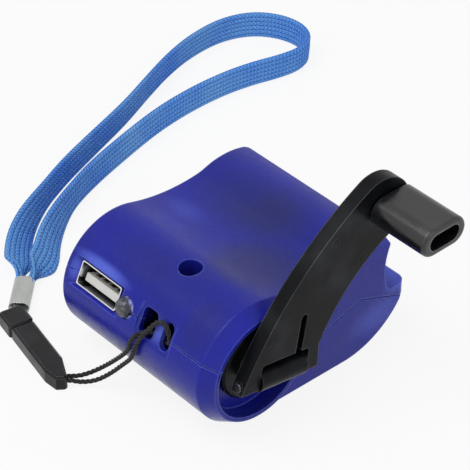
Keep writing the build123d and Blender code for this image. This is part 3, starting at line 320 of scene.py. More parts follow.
@dataclass(frozen=True)
class TintedShell(Finish):
    """Tinted plastic with painted highlights on its edges and in lit spots, and painted shade where
    something inside lies near the wall.
    """

    colour: Colour
    # the lit colour is painted light; the dark colour serves both the random haze and the painted
    # shade
    lit: Colour
    dark: Colour
    painted_shade_spots: tuple[WallSpot, ...]
    lit_spots: tuple[WallSpot, ...]
    roughness: float = 0.27
    shine: float = 0.2
    edge: float = 0.0005
    # how strongly the edges take the lit colour, a painted highlight
    edge_light: float = 0.75
    haze: float = 0.34  # how far the plain wall is clouded
    haze_scale: float = 45.0
    grain: float = 0.000022
    grain_scale: float = 2600.0
    polish_scale: float = 300.0
    scatter: float = 0.18
    scatter_depth: float = 0.002
    scatter_colour: Point = (0.1, 0.12, 1.0)
    soft_from: float = 1.25  # where a spot fades out, in lengths of its reach
    soft_to: float = 0.35  # where it is whole

    def cover(self, graph: ShaderGraph, place: Socket, spot: WallSpot) -> Socket:
        """Measure how much of a spot shows at each point.

        Args:
            graph: The graph of the wall's material.
            place: The point on the wall.
            spot: The spot.

        Returns:
            A share between none and the spot's depth.
        """
        offset = graph.vector("SUBTRACT", place, tuple(v * MM for v in spot.centre))
        scaled = graph.vector("DIVIDE", offset, tuple(v * MM for v in spot.reach))
        length = graph.vector("LENGTH", scaled)
        return graph.share(length, self.soft_from, self.soft_to, 0.0, spot.depth)

    def dress(self, graph: ShaderGraph) -> None:
        """Draw the finish's nodes.

        Args:
            graph: The empty graph of the finish's material.
        """
        place = graph.place()
        warp = graph.noise(place, self.haze_scale, 4.0)
        rounded, edge = graph.edges(self.edge)
        cloud = graph.share(warp, 0.32, 0.68)
        haze_and_painted_shade = graph.math("MULTIPLY", cloud, self.haze)
        # painted shade over the inner parts, on top of the random haze
        for spot in self.painted_shade_spots:
            ragged = graph.share(cloud, 0.0, 1.0, 0.7, 1.0)
            shown = graph.math("MULTIPLY", self.cover(graph, place, spot), ragged)
            haze_and_painted_shade = graph.math("MAXIMUM", haze_and_painted_shade, shown)
        # painted highlight on the edges, and painted light in the lit spots
        painted_light = graph.math("MULTIPLY", edge, self.edge_light)
        for spot in self.lit_spots:
            painted_light = graph.math("MAXIMUM", painted_light, self.cover(graph, place, spot))
        body = graph.mix(haze_and_painted_shade, self.colour, self.dark)
        tint = graph.mix(painted_light, body, self.lit)
        grain = graph.noise(place, self.grain_scale, 2.0)
        polish = graph.noise(place, self.polish_scale)
        graph.surface(
            {
                "Base Color": tint,
                "Roughness": graph.vary(polish, self.roughness - 0.05, self.roughness + 0.06),
                "Specular IOR Level": self.shine,
                "Subsurface Weight": self.scatter,
                "Subsurface Radius": self.scatter_colour,
                "Subsurface Scale": self.scatter_depth,
                "Normal": graph.bump(grain, self.grain, rounded),
            }
        )


@dataclass(frozen=True)
class Metal(Finish):
    """Bright or dull metal with fine marks along one axis."""

    colour: Colour
    roughness: float = 0.25
    stretch: Point = (1.0, 1.0, 12.0)
    tarnish: float = 0.15
    dulled: float = 0.55  # brightness of tarnished metal
    pale_colour: Colour = (0.95, 0.95, 0.95, 1.0)
    edge: float = 0.00012
    mark_scale: float = 900.0
    mark_depth: float = 0.000006
    stain_scale: float = 240.0

    def base(self, graph: ShaderGraph, place: Socket) -> object:
        """Return the clean metal's colour."""
        return self.colour

    def dress(self, graph: ShaderGraph) -> None:
        """Draw the finish's nodes.

        Args:
            graph: The empty graph of the finish's material.
        """
        place = graph.place()
        rounded, edge = graph.edges(self.edge)
        clean = self.base(graph, place)
        lines = graph.noise(graph.vector("MULTIPLY", place, self.stretch), self.mark_scale, 2.0)
        cloud = graph.noise(place, self.stain_scale)
        dull = tuple(v * self.dulled for v in self.colour[:3]) + (1.0,)
        stained = graph.mix(graph.share(cloud, 0.4, 0.75, 0.0, self.tarnish), clean, dull)
        graph.surface(
            {
                "Base Color": graph.mix(graph.math("MULTIPLY", edge, 0.5), stained, self.pale_colour),
                "Metallic": 1.0,
                "Roughness": graph.vary(lines, self.roughness * 0.7, self.roughness * 1.4),
                "Normal": graph.bump(lines, self.mark_depth, rounded),
            }
        )


@dataclass(frozen=True)
class SocketMetal(Metal):
    """Bright metal of a deep socket, with painted shade below its lips, where no light comes in."""

    # colour of the painted shade deep in the socket
    deep: Colour = (0.02, 0.02, 0.03, 1.0)
    lip: float = 13.7  # from the hub axis, in millimetres
    dark_at: float = 10.5

    def base(self, graph: ShaderGraph, place: Socket) -> object:
        """Darken the clean metal inwards with painted shade.

        Args:
            graph: The graph of the metal's material.
            place: The point on the piece.

        Returns:
            The clean metal's colour, with the painted shade.
        """
        along, _ = graph.about(place, HUB * MM, NOSE_OUT)
        # painted shade, whole at dark_at and gone at the lips
        out = graph.share(along, self.dark_at * MM, self.lip * MM)
        return graph.mix(out, self.deep, self.colour)


@dataclass(frozen=True)
class ClearResin(Finish):
    """Clear cast resin with a few soft flow marks, and painted shade in a dark blue tint at its
    rim.
    """

    colour: Colour
    rim: Colour
    cloud: Colour = (0.8, 0.84, 0.95, 1.0)
    axis_y: float = 4.2  # of the lamp, in millimetres
    rim_from: float = 0.0011
    rim_to: float = 0.0021
    roughness: float = 0.03
    index: float = 1.52
    clear: float = 0.95
    flow_scale: float = 500.0
    flow_depth: float = 0.000002

    def dress(self, graph: ShaderGraph) -> None:
        """Draw the finish's nodes.

        Args:
            graph: The empty graph of the finish's material.
        """
        place = graph.place()
        flow = graph.noise(place, self.flow_scale, 2.0)
        normal = graph.bump(flow, self.flow_depth, graph.normal())
        _, away = graph.about(place, Vector(nose_point(self.axis_y, 0.0, 0.0)) * MM, NOSE_OUT)
        cast = graph.mix(graph.vary(flow, 0.0, 0.3), self.colour, self.cloud)
        # painted shade towards the lamp's rim
        outer = graph.share(away, self.rim_from, self.rim_to)
        graph.surface(
            {
                "Base Color": graph.mix(outer, cast, self.rim),
                "Roughness": self.roughness,
                "IOR": self.index,
                "Transmission Weight": self.clear,
                "Normal": normal,
            }
        )


@dataclass(frozen=True)
class WovenTape(Finish):
    """Woven tape of lengthwise braided cords, with painted shade in the grooves and between the
    stitches and a painted highlight on the stitches; the UV map holds millimetres along and across.
    """

    colour: Colour
    # light serves the painted highlight, the paler random patches and loose fibres; dark is painted
    # shade
    light: Colour
    dark: Colour
    width: float = 7.6
    cords: int = 6
    stitch: float = 1.05
    chevron: float = 1.3  # how far a stitch runs on from a cord's middle to its side
    fibre_scale: float = 5200.0
    wear_scale: float = 60.0
    weave_depth: float = 0.00018
    shine: float = 0.15
    sheen: float = 0.08

    def dress(self, graph: ShaderGraph) -> None:
        """Draw the finish's nodes.

        Args:
            graph: The empty graph of the finish's material.
        """
        place = graph.place()
        uv = graph.add("ShaderNodeUVMap", uv_map="weave").outputs["UV"]
        parts = graph.add("ShaderNodeSeparateXYZ", {"Vector": uv})
        across = graph.math("MULTIPLY", parts.outputs["Y"], self.cords / self.width)
        middle = graph.math("ABSOLUTE", graph.math("SUBTRACT", graph.math("FRACT", across), 0.5))
        slant = graph.math("MULTIPLY", middle, self.chevron)
        run = graph.math("ADD", graph.math("DIVIDE", parts.outputs["X"], self.stitch), slant)
        wave = graph.math("SINE", graph.math("MULTIPLY", run, 2.0 * math.pi))
        stitch = graph.share(wave, -0.9, 0.9)
        groove = graph.share(middle, 0.5, 0.33)
        stretched = graph.vector("MULTIPLY", place, (1.0, 1.0, 2.5))
        fibres = graph.noise(stretched, self.fibre_scale, 2.0)
        wear = graph.noise(place, self.wear_scale, 4.0)
        worn = graph.mix(graph.vary(wear, 0.0, 1.0), self.colour, self.light)
        # painted shade in the grooves between the cords
        deep = graph.mix(groove, self.dark, worn)
        # painted highlight on the stitches
        stitch_highlighted = graph.mix(graph.math("MULTIPLY", stitch, 0.5), deep, self.light)
        # painted shade between the stitches
        shade = graph.mix(graph.share(stitch, 0.0, 0.3, 0.35, 0.0), stitch_highlighted, self.dark)
        weave = graph.math("MULTIPLY", stitch, groove)
        height = graph.math("ADD", weave, graph.math("MULTIPLY", fibres, 0.35))
        loose = graph.share(fibres, 0.35, 0.7, 0.0, 0.22)
        normal = graph.bump(height, self.weave_depth, graph.normal())
        graph.surface(
            {
                "Base Color": graph.mix(loose, shade, self.light),
                "Roughness": graph.vary(fibres, 0.55, 0.75),
                "Specular IOR Level": self.shine,
                "Sheen Weight": self.sheen,
                "Sheen Roughness": 0.4,
                "Normal": normal,
            }
        )


@dataclass(frozen=True)
class Thread(Finish):
    """Waxed thread with loose fibres."""

    colour: Colour
    light: Colour
    fibre_scale: float = 4200.0
    fibre_depth: float = 0.00008
    shine: float = 0.25
    sheen: float = 0.15

    def dress(self, graph: ShaderGraph) -> None:
        """Draw the finish's nodes.

        Args:
            graph: The empty graph of the finish's material.
        """
        place = graph.place()
        fibres = graph.noise(place, self.fibre_scale)
        normal = graph.bump(fibres, self.fibre_depth, graph.normal())
        graph.surface(
            {
                "Base Color": graph.mix(graph.share(fibres, 0.35, 0.75), self.colour, self.light),
                "Roughness": graph.vary(fibres, 0.6, 0.8),
                "Specular IOR Level": self.shine,
                "Sheen Weight": self.sheen,
                "Normal": normal,
            }
        )


class Palette(Enum):
    """The finishes of this charger."""

    HOUSING = TintedShell(
        "tinted_housing",
        colour=rgb(30, 36, 162),
        lit=rgb(96, 114, 226),
        dark=rgb(40, 44, 98),
        # spots of painted shade, over the inner parts and on the side under the crank
        painted_shade_spots=(
            WallSpot((9.5, 5.0, 30.0), (11.0, 21.0, 7.0), 0.8),
            WallSpot((-3.0, -10.0, 29.0), (12.0, 12.0, 8.0), 0.95),
            WallSpot((-20.0, 6.0, 27.0), (7.0, 13.0, 6.0), 0.5),
            WallSpot((-22.0, -16.0, 24.0), (9.0, 7.0, 9.0), 0.6),
            WallSpot((-31.0, -4.0, 6.0), (10.0, 26.0, 10.0), 0.75),
            WallSpot((-15.0, -24.0, 12.0), (17.0, 4.0, 15.0), 0.65),
            WallSpot((22.0, -22.0, 21.0), (7.0, 8.0, 7.0), 0.35),
        ),
        # spots of painted light, also round the socket's pocket and inside the strap's recess
        lit_spots=(
            WallSpot((28.5, -12.0, 15.0), (6.0, 20.0, 4.5), 0.8),
            WallSpot((22.0, -24.0, 8.0), (10.0, 4.0, 5.0), 0.4),
            WallSpot((-10.0, 14.0, 26.5), (5.0, 11.0, 2.2), 0.5),
            WallSpot((-1.0, 15.0, 29.5), (4.5, 9.0, 2.5), 0.5),
            WallSpot(nose_point(13.9, 4.2, 13.8), (2.2, 9.0, 1.6), 0.85),
            WallSpot(nose_point(21.6, 0.0, 13.8), (2.4, 1.3, 3.4), 0.7),
            WallSpot(nose_point(-6.3, 0.0, 12.6), (3.4, 4.4, 3.4), 0.75),
        ),
    )
    # the paler second colour of a moulding lightens its edges, partly as rubbing wear and partly as
    # a painted highlight
    BLACK = Moulded("black_satin_plastic", rgb(13, 14, 17), rgb(104, 107, 114))
    BLACK_ARM = Moulded(
        "black_satin_arm",
        rgb(13, 14, 17),
        rgb(112, 115, 122),
        edge=0.0004,
        pin_marks=((-16.65, 25.13), (1.68, 41.82), (9.55, 33.95)),
    )
    BLACK_KNOB = Moulded(
        "black_polished_knob",
        rgb(15, 16, 19),
        rgb(120, 124, 132),
        roughness=0.24,
        shine=0.6,
        edge=0.0005,
    )
    BLACK_CLIP = Moulded(
        "black_clip_plastic",
        rgb(14, 15, 18),
        rgb(120, 122, 126),
        roughness=0.3,
        shine=0.24,
        edge=0.0003,
    )
    SOFT_WHITE = Moulded(
        "white_gear_plastic", rgb(226, 222, 208), rgb(244, 242, 236), roughness=0.5, shine=0.35
    )
    INSERT = Moulded(
        "white_insert_plastic", rgb(222, 222, 216), rgb(246, 246, 244), roughness=0.38, shine=0.35
    )
    END_CAP = Moulded("dark_end_cap_plastic", rgb(36, 36, 38), rgb(80, 80, 84), roughness=0.5)
    SLEEVE = Moulded("capacitor_sleeve_film", rgb(24, 24, 30), rgb(66, 66, 74), roughness=0.3)
    COIL = Moulded("coil_ferrite", rgb(34, 34, 34), rgb(76, 76, 76), roughness=0.6)
    CHIP = Moulded("chip_moulding", rgb(22, 22, 22), rgb(60, 60, 60), roughness=0.55)
    BOARD = Moulded("board_resist", rgb(14, 84, 44), rgb(150, 160, 110), roughness=0.4)
    STEEL = Metal("bright_steel", rgb(205, 206, 210), roughness=0.22)
    SOCKET = SocketMetal("socket_steel", rgb(222, 223, 226), roughness=0.16, tarnish=0.08)
    BLACKENED = Metal("blackened_steel", rgb(64, 64, 66), roughness=0.4)
    PLATE = Metal("stamped_plate", rgb(196, 198, 202), roughness=0.35)
    BRASS = Metal("turned_brass", rgb(206, 168, 96), roughness=0.25)
    CORE = Metal(
        "laminated_core", rgb(120, 112, 106), roughness=0.5, stretch=(1.0, 14.0, 1.0), tarnish=0.5
    )
    CONTACT = Metal("plated_contact", rgb(128, 108, 72), roughness=0.3)
    TINNED = Metal("tinned_wire", rgb(210, 210, 208), roughness=0.28)
    CRIMP = Metal("plated_crimp", rgb(176, 178, 176), roughness=0.26, tarnish=0.3)
    # the lens's rim colour is painted shade
    LENS = ClearResin("clear_lens", (0.93, 0.95, 1.0, 1.0), rim=(0.22, 0.25, 0.62, 1.0))
    # dark is painted shade in the grooves and between the stitches; light is a painted highlight on
    # the stitches, and also the paler random patches and loose fibres
    TAPE = WovenTape("woven_blue_tape", rgb(58, 132, 250), rgb(124, 190, 255), rgb(16, 66, 176))
    THREAD = Thread("black_thread", rgb(14, 14, 15), rgb(60, 60, 62))


SLOT_FINISH: dict[str, Palette] = {
    "blue_plastic": Palette.HOUSING,
    "black_plastic": Palette.BLACK,
    "steel": Palette.STEEL,
    "white_gear_plastic": Palette.SOFT_WHITE,
    "brass": Palette.BRASS,
    "plate_metal": Palette.PLATE,
    "end_cap_plastic": Palette.END_CAP,
    "core_iron": Palette.CORE,
    "board": Palette.BOARD,
    "white_insert": Palette.INSERT,
    "contact_metal": Palette.CONTACT,
    "lamp_resin": Palette.LENS,
    "tinned_wire": Palette.TINNED,
    "capacitor_sleeve": Palette.SLEEVE,
    "coil_black": Palette.COIL,
    "chip_black": Palette.CHIP,
    "cord_black": Palette.THREAD,
    "crimp_metal": Palette.CRIMP,
    "strap_blue": Palette.TAPE,
}
NODE_FINISH: dict[str, Palette] = {
    "crank_arm": Palette.BLACK_ARM,
    "crank_knob": Palette.BLACK_KNOB,
    "clip_body": Palette.BLACK_CLIP,
    "clip_cap": Palette.BLACK_CLIP,
    "usb_shell": Palette.SOCKET,
    "hinge_pin": Palette.BLACKENED,
}


# ------------------------------------------------------------------ making pieces
def show(name: str, data: bpy.types.ID) -> bpy.types.Object:
    """Put an object in the scene.

    Args:
        name: Name of the object.
        data: Its mesh, lamp or camera.

    Returns:
        The new object, at the origin.
    """
    shown = bpy.data.objects.new(name, data)
    bpy.context.scene.collection.objects.link(shown)
    return shown


def add_piece(name: str, mesh: bpy.types.Mesh, finish: Finish) -> bpy.types.Object:
    """Put a finished mesh in the scene.

    Args:
        name: Name of the piece.
        mesh: Its mesh, in metres and in place.
        finish: What it is covered with.

    Returns:
        The new object, at the origin.
    """
    mesh.materials.clear()
    mesh.materials.append(finish.material())
    return show(name, mesh)


def smooth_route(points: Sequence[Point]) -> list[Vector]:
    """Lay a smooth line along control points.

    Args:
        points: Control points in millimetres.

    Returns:
        Points of the NURBS spline, in metres.
    """
    curve = bpy.data.curves.new("route", "CURVE")
    curve.dimensions = "3D"
    curve.resolution_u = 12
    spline = curve.splines.new("NURBS")
    spline.points.add(len(points) - 1)
    for knot, point in zip(spline.points, points):
        knot.co = (point[0] * MM, point[1] * MM, point[2] * MM, 1.0)
    spline.order_u = 3
    spline.use_endpoint_u = True
    holder = bpy.data.objects.new("route", curve)
    mesh = bpy.data.meshes.new_from_object(holder)
    line = [vertex.co.copy() for vertex in mesh.vertices]
    bpy.data.objects.remove(holder)
    bpy.data.curves.remove(curve)
    bpy.data.meshes.remove(mesh)
    return line


def run_length(line: Sequence[Vector]) -> float:
    """Return the length of a line of points."""
    return sum((b - a).length for a, b in zip(line, line[1:]))


def evenly(line: Sequence[Vector], step: float) -> list[Vector]:
    """Space the points of a line evenly.

    Args:
        line: The points.
        step: About how far apart the new points are.

    Returns:
        The new points, with the same ends.
    """
    total = run_length(line)
    count = max(2, math.ceil(total / step) + 1)
    spaced = [line[0].copy()]
    travelled, index = 0.0, 0
    for number in range(1, count - 1):
        wanted = total * number / (count - 1)
        while travelled + (line[index + 1] - line[index]).length < wanted:
            travelled += (line[index + 1] - line[index]).length
            index += 1
        piece = (line[index + 1] - line[index]).length
        spaced.append(line[index].lerp(line[index + 1], (wanted - travelled) / piece))
    spaced.append(line[-1].copy())
    return spaced


def turned(
    profile: Sequence[tuple[float, float]], foot: Vector, axis: Vector, sides: int = 24
) -> bmesh.types.BMesh:
    """Turn a closed profile about an axis.

    Args:
        profile: Radius and height of each ring, from the foot's centre to the top's.
        foot: Where the axis starts.
        axis: Direction of the axis.
        sides: How many sides each ring has.

    Returns:
        The turned mesh, with its faces outwards.
    """
    mesh = bmesh.new()
    level = axis.normalized()
    across = level.orthogonal().normalized()
    third = level.cross(across)
    rings = []
    for radius, height in profile:
        centre = foot + level * height
        if radius <= 0.0:
            rings.append([mesh.verts.new(centre)])
            continue
        ring = []
        for side in range(sides):
            angle = 2.0 * math.pi * side / sides
            spoke = across * math.cos(angle) + third * math.sin(angle)
            ring.append(mesh.verts.new(centre + spoke * radius))
        rings.append(ring)
    for low, high in zip(rings, rings[1:]):
        for side in range(sides):
            beside = (side + 1) % sides
            corners = [low[side % len(low)], low[beside % len(low)]]
            corners += [high[beside % len(high)], high[side % len(high)]]
            mesh.faces.new(list(dict.fromkeys(corners)))
    bmesh.ops.recalc_face_normals(mesh, faces=mesh.faces)
    return mesh


def settle(made: bmesh.types.BMesh, name: str) -> bpy.types.Mesh:
    """Turn a built mesh into mesh data with smooth faces.

    Args:
        made: The built mesh, which is freed.
        name: Name of the mesh data.

    Returns:
        The mesh data.
    """
    data = bpy.data.meshes.new(name)
    for face in made.faces:
        face.smooth = True
    made.to_mesh(data)
    made.free()
    return data


# ------------------------------------------------------------------ twisted cord
@dataclass(frozen=True)
class TwistedCord:
    """The clip's thin cord: strands that wind round each other along a route."""

    name: str = "twisted_clip_cord"
    diameter: float = 0.0011
    strands: int = 3
    pitch: float = 0.0034
    step: float = 0.0002
    sides: int = 8  # of a strand
    route: tuple[Point, ...] = (  # in millimetres
        (-39.7, 12.5, 1.7), (-38.3, 11.9, 1.7), (-36.8, 10.3, 1.2), (-34.4, 7.9, 1.7),
        (-32.2, 5.4, 4.1), (-30.9, 2.2, 8.3), (-30.9, -0.5, 11.6), (-31.1, -1.7, 15.0),
        nose_point(-3.1, -3.3, 15.7), nose_point(-4.5, -0.5, 15.5), nose_point(-5.6, 1.9, 15.1),
        nose_point(-7.2, 2.7, 15.1), nose_point(-8.8, 2.1, 15.0), nose_point(-9.5, 0.4, 14.3),
        nose_point(-9.3, -1.3, 13.3), nose_point(-8.1, -2.1, 12.1), nose_point(-6.3, -2.2, 11.8),
        nose_point(-4.4, -2.0, 12.2), nose_point(-3.0, -2.0, 13.5), nose_point(-1.9, -2.9, 15.2),
        nose_point(-0.9, -5.0, 15.8), (-31.1, 0.2, 13.6), (-31.0, 2.5, 10.6), (-31.2, 5.2, 7.4),
        (-31.9, 8.0, 4.3), (-33.6, 10.3, 2.1), (-35.8, 11.9, 1.3), (-37.6, 13.1, 1.6),
        (-39.2, 13.8, 1.7),
    )

    def tree(self) -> bpy.types.NodeTree:
        """Draw the geometry nodes that wind the strands.

        Returns:
            The node group, whose inputs are the strand's sizes.
        """
        tree = bpy.data.node_groups.new("wind_strands", "GeometryNodeTree")
        graph = Graph(tree)
        interface = tree.interface
        interface.new_socket("Geometry", in_out="INPUT", socket_type="NodeSocketGeometry")
        for label in ("Strand Radius", "Orbit Radius", "Pitch", "Step"):
            interface.new_socket(label, in_out="INPUT", socket_type="NodeSocketFloat")
        interface.new_socket("Finish", in_out="INPUT", socket_type="NodeSocketMaterial")
        interface.new_socket("Geometry", in_out="OUTPUT", socket_type="NodeSocketGeometry")
        given = graph.add("NodeGroupInput").outputs
        line = graph.add("GeometryNodeMeshToCurve", {"Mesh": given["Geometry"]})
        spacing = {"Curve": line.outputs[0], "Length": given["Step"]}
        even = graph.add("GeometryNodeResampleCurve", spacing, mode="LENGTH")
        along = graph.add("GeometryNodeSplineParameter").outputs["Length"]
        turns = graph.math("DIVIDE", along, given["Pitch"])
        normal = graph.add("GeometryNodeInputNormal").outputs["Normal"]
        tangent = graph.add("GeometryNodeInputTangent").outputs[0]
        side = graph.vector("CROSS_PRODUCT", tangent, normal)
        ring = {"Resolution": self.sides, "Radius": given["Strand Radius"]}
        section = graph.add("GeometryNodeCurvePrimitiveCircle", ring)
        join = graph.add("GeometryNodeJoinGeometry")
        for strand in range(self.strands):
            start = graph.math("ADD", turns, strand / self.strands)
            angle = graph.math("MULTIPLY", start, 2.0 * math.pi)
            legs = []
            for direction, wave in ((normal, "COSINE"), (side, "SINE")):
                reach = graph.math("MULTIPLY", graph.math(wave, angle), given["Orbit Radius"])
                scaled = {0: direction, "Scale": reach}
                legs.append(graph.add("ShaderNodeVectorMath", scaled, operation="SCALE").outputs[0])
            offset = graph.vector("ADD", *legs)
            places = {"Geometry": even.outputs[0], "Offset": offset}
            moved = graph.add("GeometryNodeSetPosition", places)
            tube = graph.add(
                "GeometryNodeCurveToMesh",
                {"Curve": moved.outputs[0], "Profile Curve": section.outputs[0], "Fill Caps": True},
            )
            graph.feed(join.inputs[0], tube.outputs[0])
        real = graph.add("GeometryNodeRealizeInstances", {0: join.outputs[0]})
        finished = {"Geometry": real.outputs[0], "Material": given["Finish"]}
        dressed = graph.add("GeometryNodeSetMaterial", finished)
        graph.add("NodeGroupOutput", {0: dressed.outputs[0]})
        return tree

    def build(self) -> bpy.types.Object:
        """Returns:
            The cord's mesh.
        """
        line = smooth_route(self.route)
        wire = bpy.data.meshes.new("cord_line")
        wire.from_pydata(line, [(i, i + 1) for i in range(len(line) - 1)], [])
        holder = show("cord_line", wire)
        winding = holder.modifiers.new("wind", "NODES")
        winding.node_group = self.tree()
        strand = self.diameter / 2.0 / (1.0 + 2.0 / math.sqrt(3.0))
        sizes = {
            "Strand Radius": strand,
            "Orbit Radius": self.diameter / 2.0 - strand,
            "Pitch": self.pitch,
            "Step": self.step,
            "Finish": Palette.THREAD.value.material(),
        }
        for item in winding.node_group.interface.items_tree:
            if item.in_out == "INPUT" and item.name in sizes:
                winding[item.identifier] = sizes[item.name]
        shown = holder.evaluated_get(bpy.context.evaluated_depsgraph_get())
        mesh = bpy.data.meshes.new_from_object(shown)
        bpy.data.objects.remove(holder)
        for face in mesh.polygons:
            face.use_smooth = True
        cord = add_piece(self.name, mesh, Palette.THREAD.value)
        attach(cord, "chassis")
        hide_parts("strap_cord")
        LOG.info("cord %s: %.0f mm", self.name, run_length(line) / MM)
        return cord


# ------------------------------------------------------------------ wrist strap
@dataclass(frozen=True)
class WristStrap:
    """The woven strap, in millimetres: a loop of tape on its edge, both ends pleated in a crimp."""

    name: str = "woven_wrist_strap"
    width: float = 7.6
    thick: float = 1.3
    cords: int = 6  # woven side by side
    neck_width: float = 2.0
    neck_thick: float = 0.75
    pleat: float = 0.42
    pleats: float = 2.5
    taper: float = 7.0  # how far outside the crimp the pleats reach
    lie_deg: float = 62.0  # how far the tape leans over where it leaves the crimp
    twist_run: float = 34.0  # how far outside the crimp it has stood up on its edge
    crimp_start: Point = (-31.7, 38.4, 1.6)
    crimp_end: Point = (-24.8, 45.1, 1.6)
    crimp_hold: float = 1.2
    half_gap: float = 0.9
    step: float = 0.6
    samples: int = 31
    lean: float = 0.5  # how far its top edge wavers
    waver: float = 21.0  # how far it runs on for a radian of that
    crease: float = 0.03  # what is left of the pleats farther on
    core: float = 0.7  # the thickness in a groove, and what a rib adds
    swell: float = 0.3
    rib_round: float = 0.6
    edge_round: int = 7
    clear: float = 0.02  # between the tape and the table
    route: tuple[tuple[float, float], ...] = (  # over the table
        (-20.6, 53.2), (-15.2, 58.6), (-7.0, 63.5), (5.9, 69.6), (19.6, 74.4), (33.4, 79.1),
        (44.6, 84.0), (55.5, 88.4), (65.5, 91.0), (76.0, 91.6), (84.4, 88.6), (89.2, 82.6),
        (90.6, 75.6), (88.2, 69.8), (82.5, 67.6), (76.0, 68.6), (68.8, 70.8), (59.5, 72.3),
        (48.4, 72.4), (37.0, 71.2), (24.4, 68.2), (11.9, 64.8), (2.4, 61.2), (-5.8, 56.7),
        (-12.0, 52.4), (-16.6, 47.7),
    )

    def control_points(self) -> list[Point]:
        """Lay the loop's control points.

        Returns:
            The points, from inside the crimp round and back into it.
        """
        start, end = Vector(self.crimp_start), Vector(self.crimp_end)
        along = (end - start).normalized()
        left = Vector((-along.y, along.x, 0.0))
        held = start + along * self.crimp_hold
        middle = self.width / 2.0
        points = [held + left * self.half_gap, end + left * self.half_gap]
        points += [Vector((x, y, middle)) for x, y in self.route]
        points += [end - left * self.half_gap, held - left * self.half_gap]
        return [tuple(point) for point in points]

    def past_crimp(self, travelled: float, total: float, run: float) -> float:
        """Measure how far past the crimp a place is.

        Args:
            travelled: How far along the strap the place is.
            total: The strap's length.
            run: How far past the crimp the share is whole.

        Returns:
            A smooth share, 0 in the crimp.
        """
        crimp = (Vector(self.crimp_end) - Vector(self.crimp_start)).length - self.crimp_hold
        near = min(travelled, total - travelled) - crimp
        share = min(1.0, max(0.0, near / run))
        return share * share * (3.0 - 2.0 * share)

    def lean_over(self, travelled: float, total: float) -> float:
        """Lean both runs of the tape to the same side.

        Args:
            travelled: How far along the strap the place is.
            total: The strap's length.

        Returns:
            The tape's lean at the place, in radians.
        """
        stood = self.past_crimp(travelled, total, self.twist_run)
        opened = self.past_crimp(travelled, total, self.taper)
        side = 1.0 if travelled < total / 2.0 else -1.0
        return side * math.radians(self.lie_deg) * (1.0 - stood) * opened

    def section(self, opened: float, phase: float) -> list[tuple[float, float, float]]:
        """Draw the tape's section at one place.

        Args:
            opened: How far the tape has opened, 0 to 1.
            phase: Where this place is along the strap, in radians of its slow waver.

        Returns:
            Offset to the left, height and share of the width for each point of the ring.
        """
        tall = self.neck_width + (self.width - self.neck_width) * opened
        thick = self.neck_thick + (self.thick - self.neck_thick) * opened
        fold = self.pleat * (1.0 - opened) + self.crease
        half = []
        for number in range(self.samples):
            share = number / (self.samples - 1)
            rib = abs(math.sin(math.pi * self.cords * share)) ** self.rib_round
            rounding = math.sqrt(max(0.0, 1.0 - abs(2.0 * share - 1.0) ** self.edge_round))
            middle = fold * math.sin(2.0 * math.pi * self.pleats * share)
            middle += self.lean * opened * (share - 0.5) * math.sin(phase)
            swell = thick / 2.0 * (self.core + self.swell * rib) * rounding
            half.append((middle, (share - 0.5) * tall, share, swell))
        left = [(middle + swell, up, share) for middle, up, share, swell in half]
        right = [(middle - swell, up, share) for middle, up, share, swell in half[-2:0:-1]]
        return left + right

    def build(self) -> bpy.types.Object:
        """Returns:
            The strap's mesh.
        """
        line = smooth_route(self.control_points())
        path = evenly(line, self.step * MM)
        total = run_length(path) / MM
        made = bmesh.new()
        rings, marks, travelled = [], [], 0.0
        for number, here in enumerate(path):
            before, after = path[max(0, number - 1)], path[min(len(path) - 1, number + 1)]
            travelled += (here - before).length / MM
            tangent = (after - before).normalized()
            left = Vector((-tangent.y, tangent.x, 0.0)).normalized()
            opened = self.past_crimp(travelled, total, self.taper)
            lean = self.lean_over(travelled, total)
            cos, sin = math.cos(lean), math.sin(lean)
            leaning = [
                (aside * cos + up * sin, up * cos - aside * sin, share)
                for aside, up, share in self.section(opened, travelled / self.waver)
            ]
            settled = opened * (self.clear - here.z / MM - min(up for _, up, _ in leaning))
            ring = []
            for aside, up, share in leaning:
                spot = here + left * (aside * MM) + Vector((0.0, 0.0, (up + settled) * MM))
                ring.append(made.verts.new(spot))
                marks.append((travelled, share * self.width))
            rings.append(ring)
        made.verts.index_update()
        layer = made.loops.layers.uv.new("weave")
        around = len(rings[0])
        for low, high in zip(rings, rings[1:]):
            for side in range(around):
                beside = (side + 1) % around
                made.faces.new((low[side], high[side], high[beside], low[beside]))
        made.faces.new(rings[0])
        made.faces.new(list(reversed(rings[-1])))
        for face in made.faces:
            for loop in face.loops:
                loop[layer].uv = marks[loop.vert.index]
        bmesh.ops.recalc_face_normals(made, faces=made.faces)
        strap = add_piece(self.name, settle(made, self.name), Palette.TAPE.value)
        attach(strap, "strap_end")
        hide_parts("strap")
        LOG.info("strap %s: %.0f mm, %d rings", self.name, total, len(rings))
        return strap


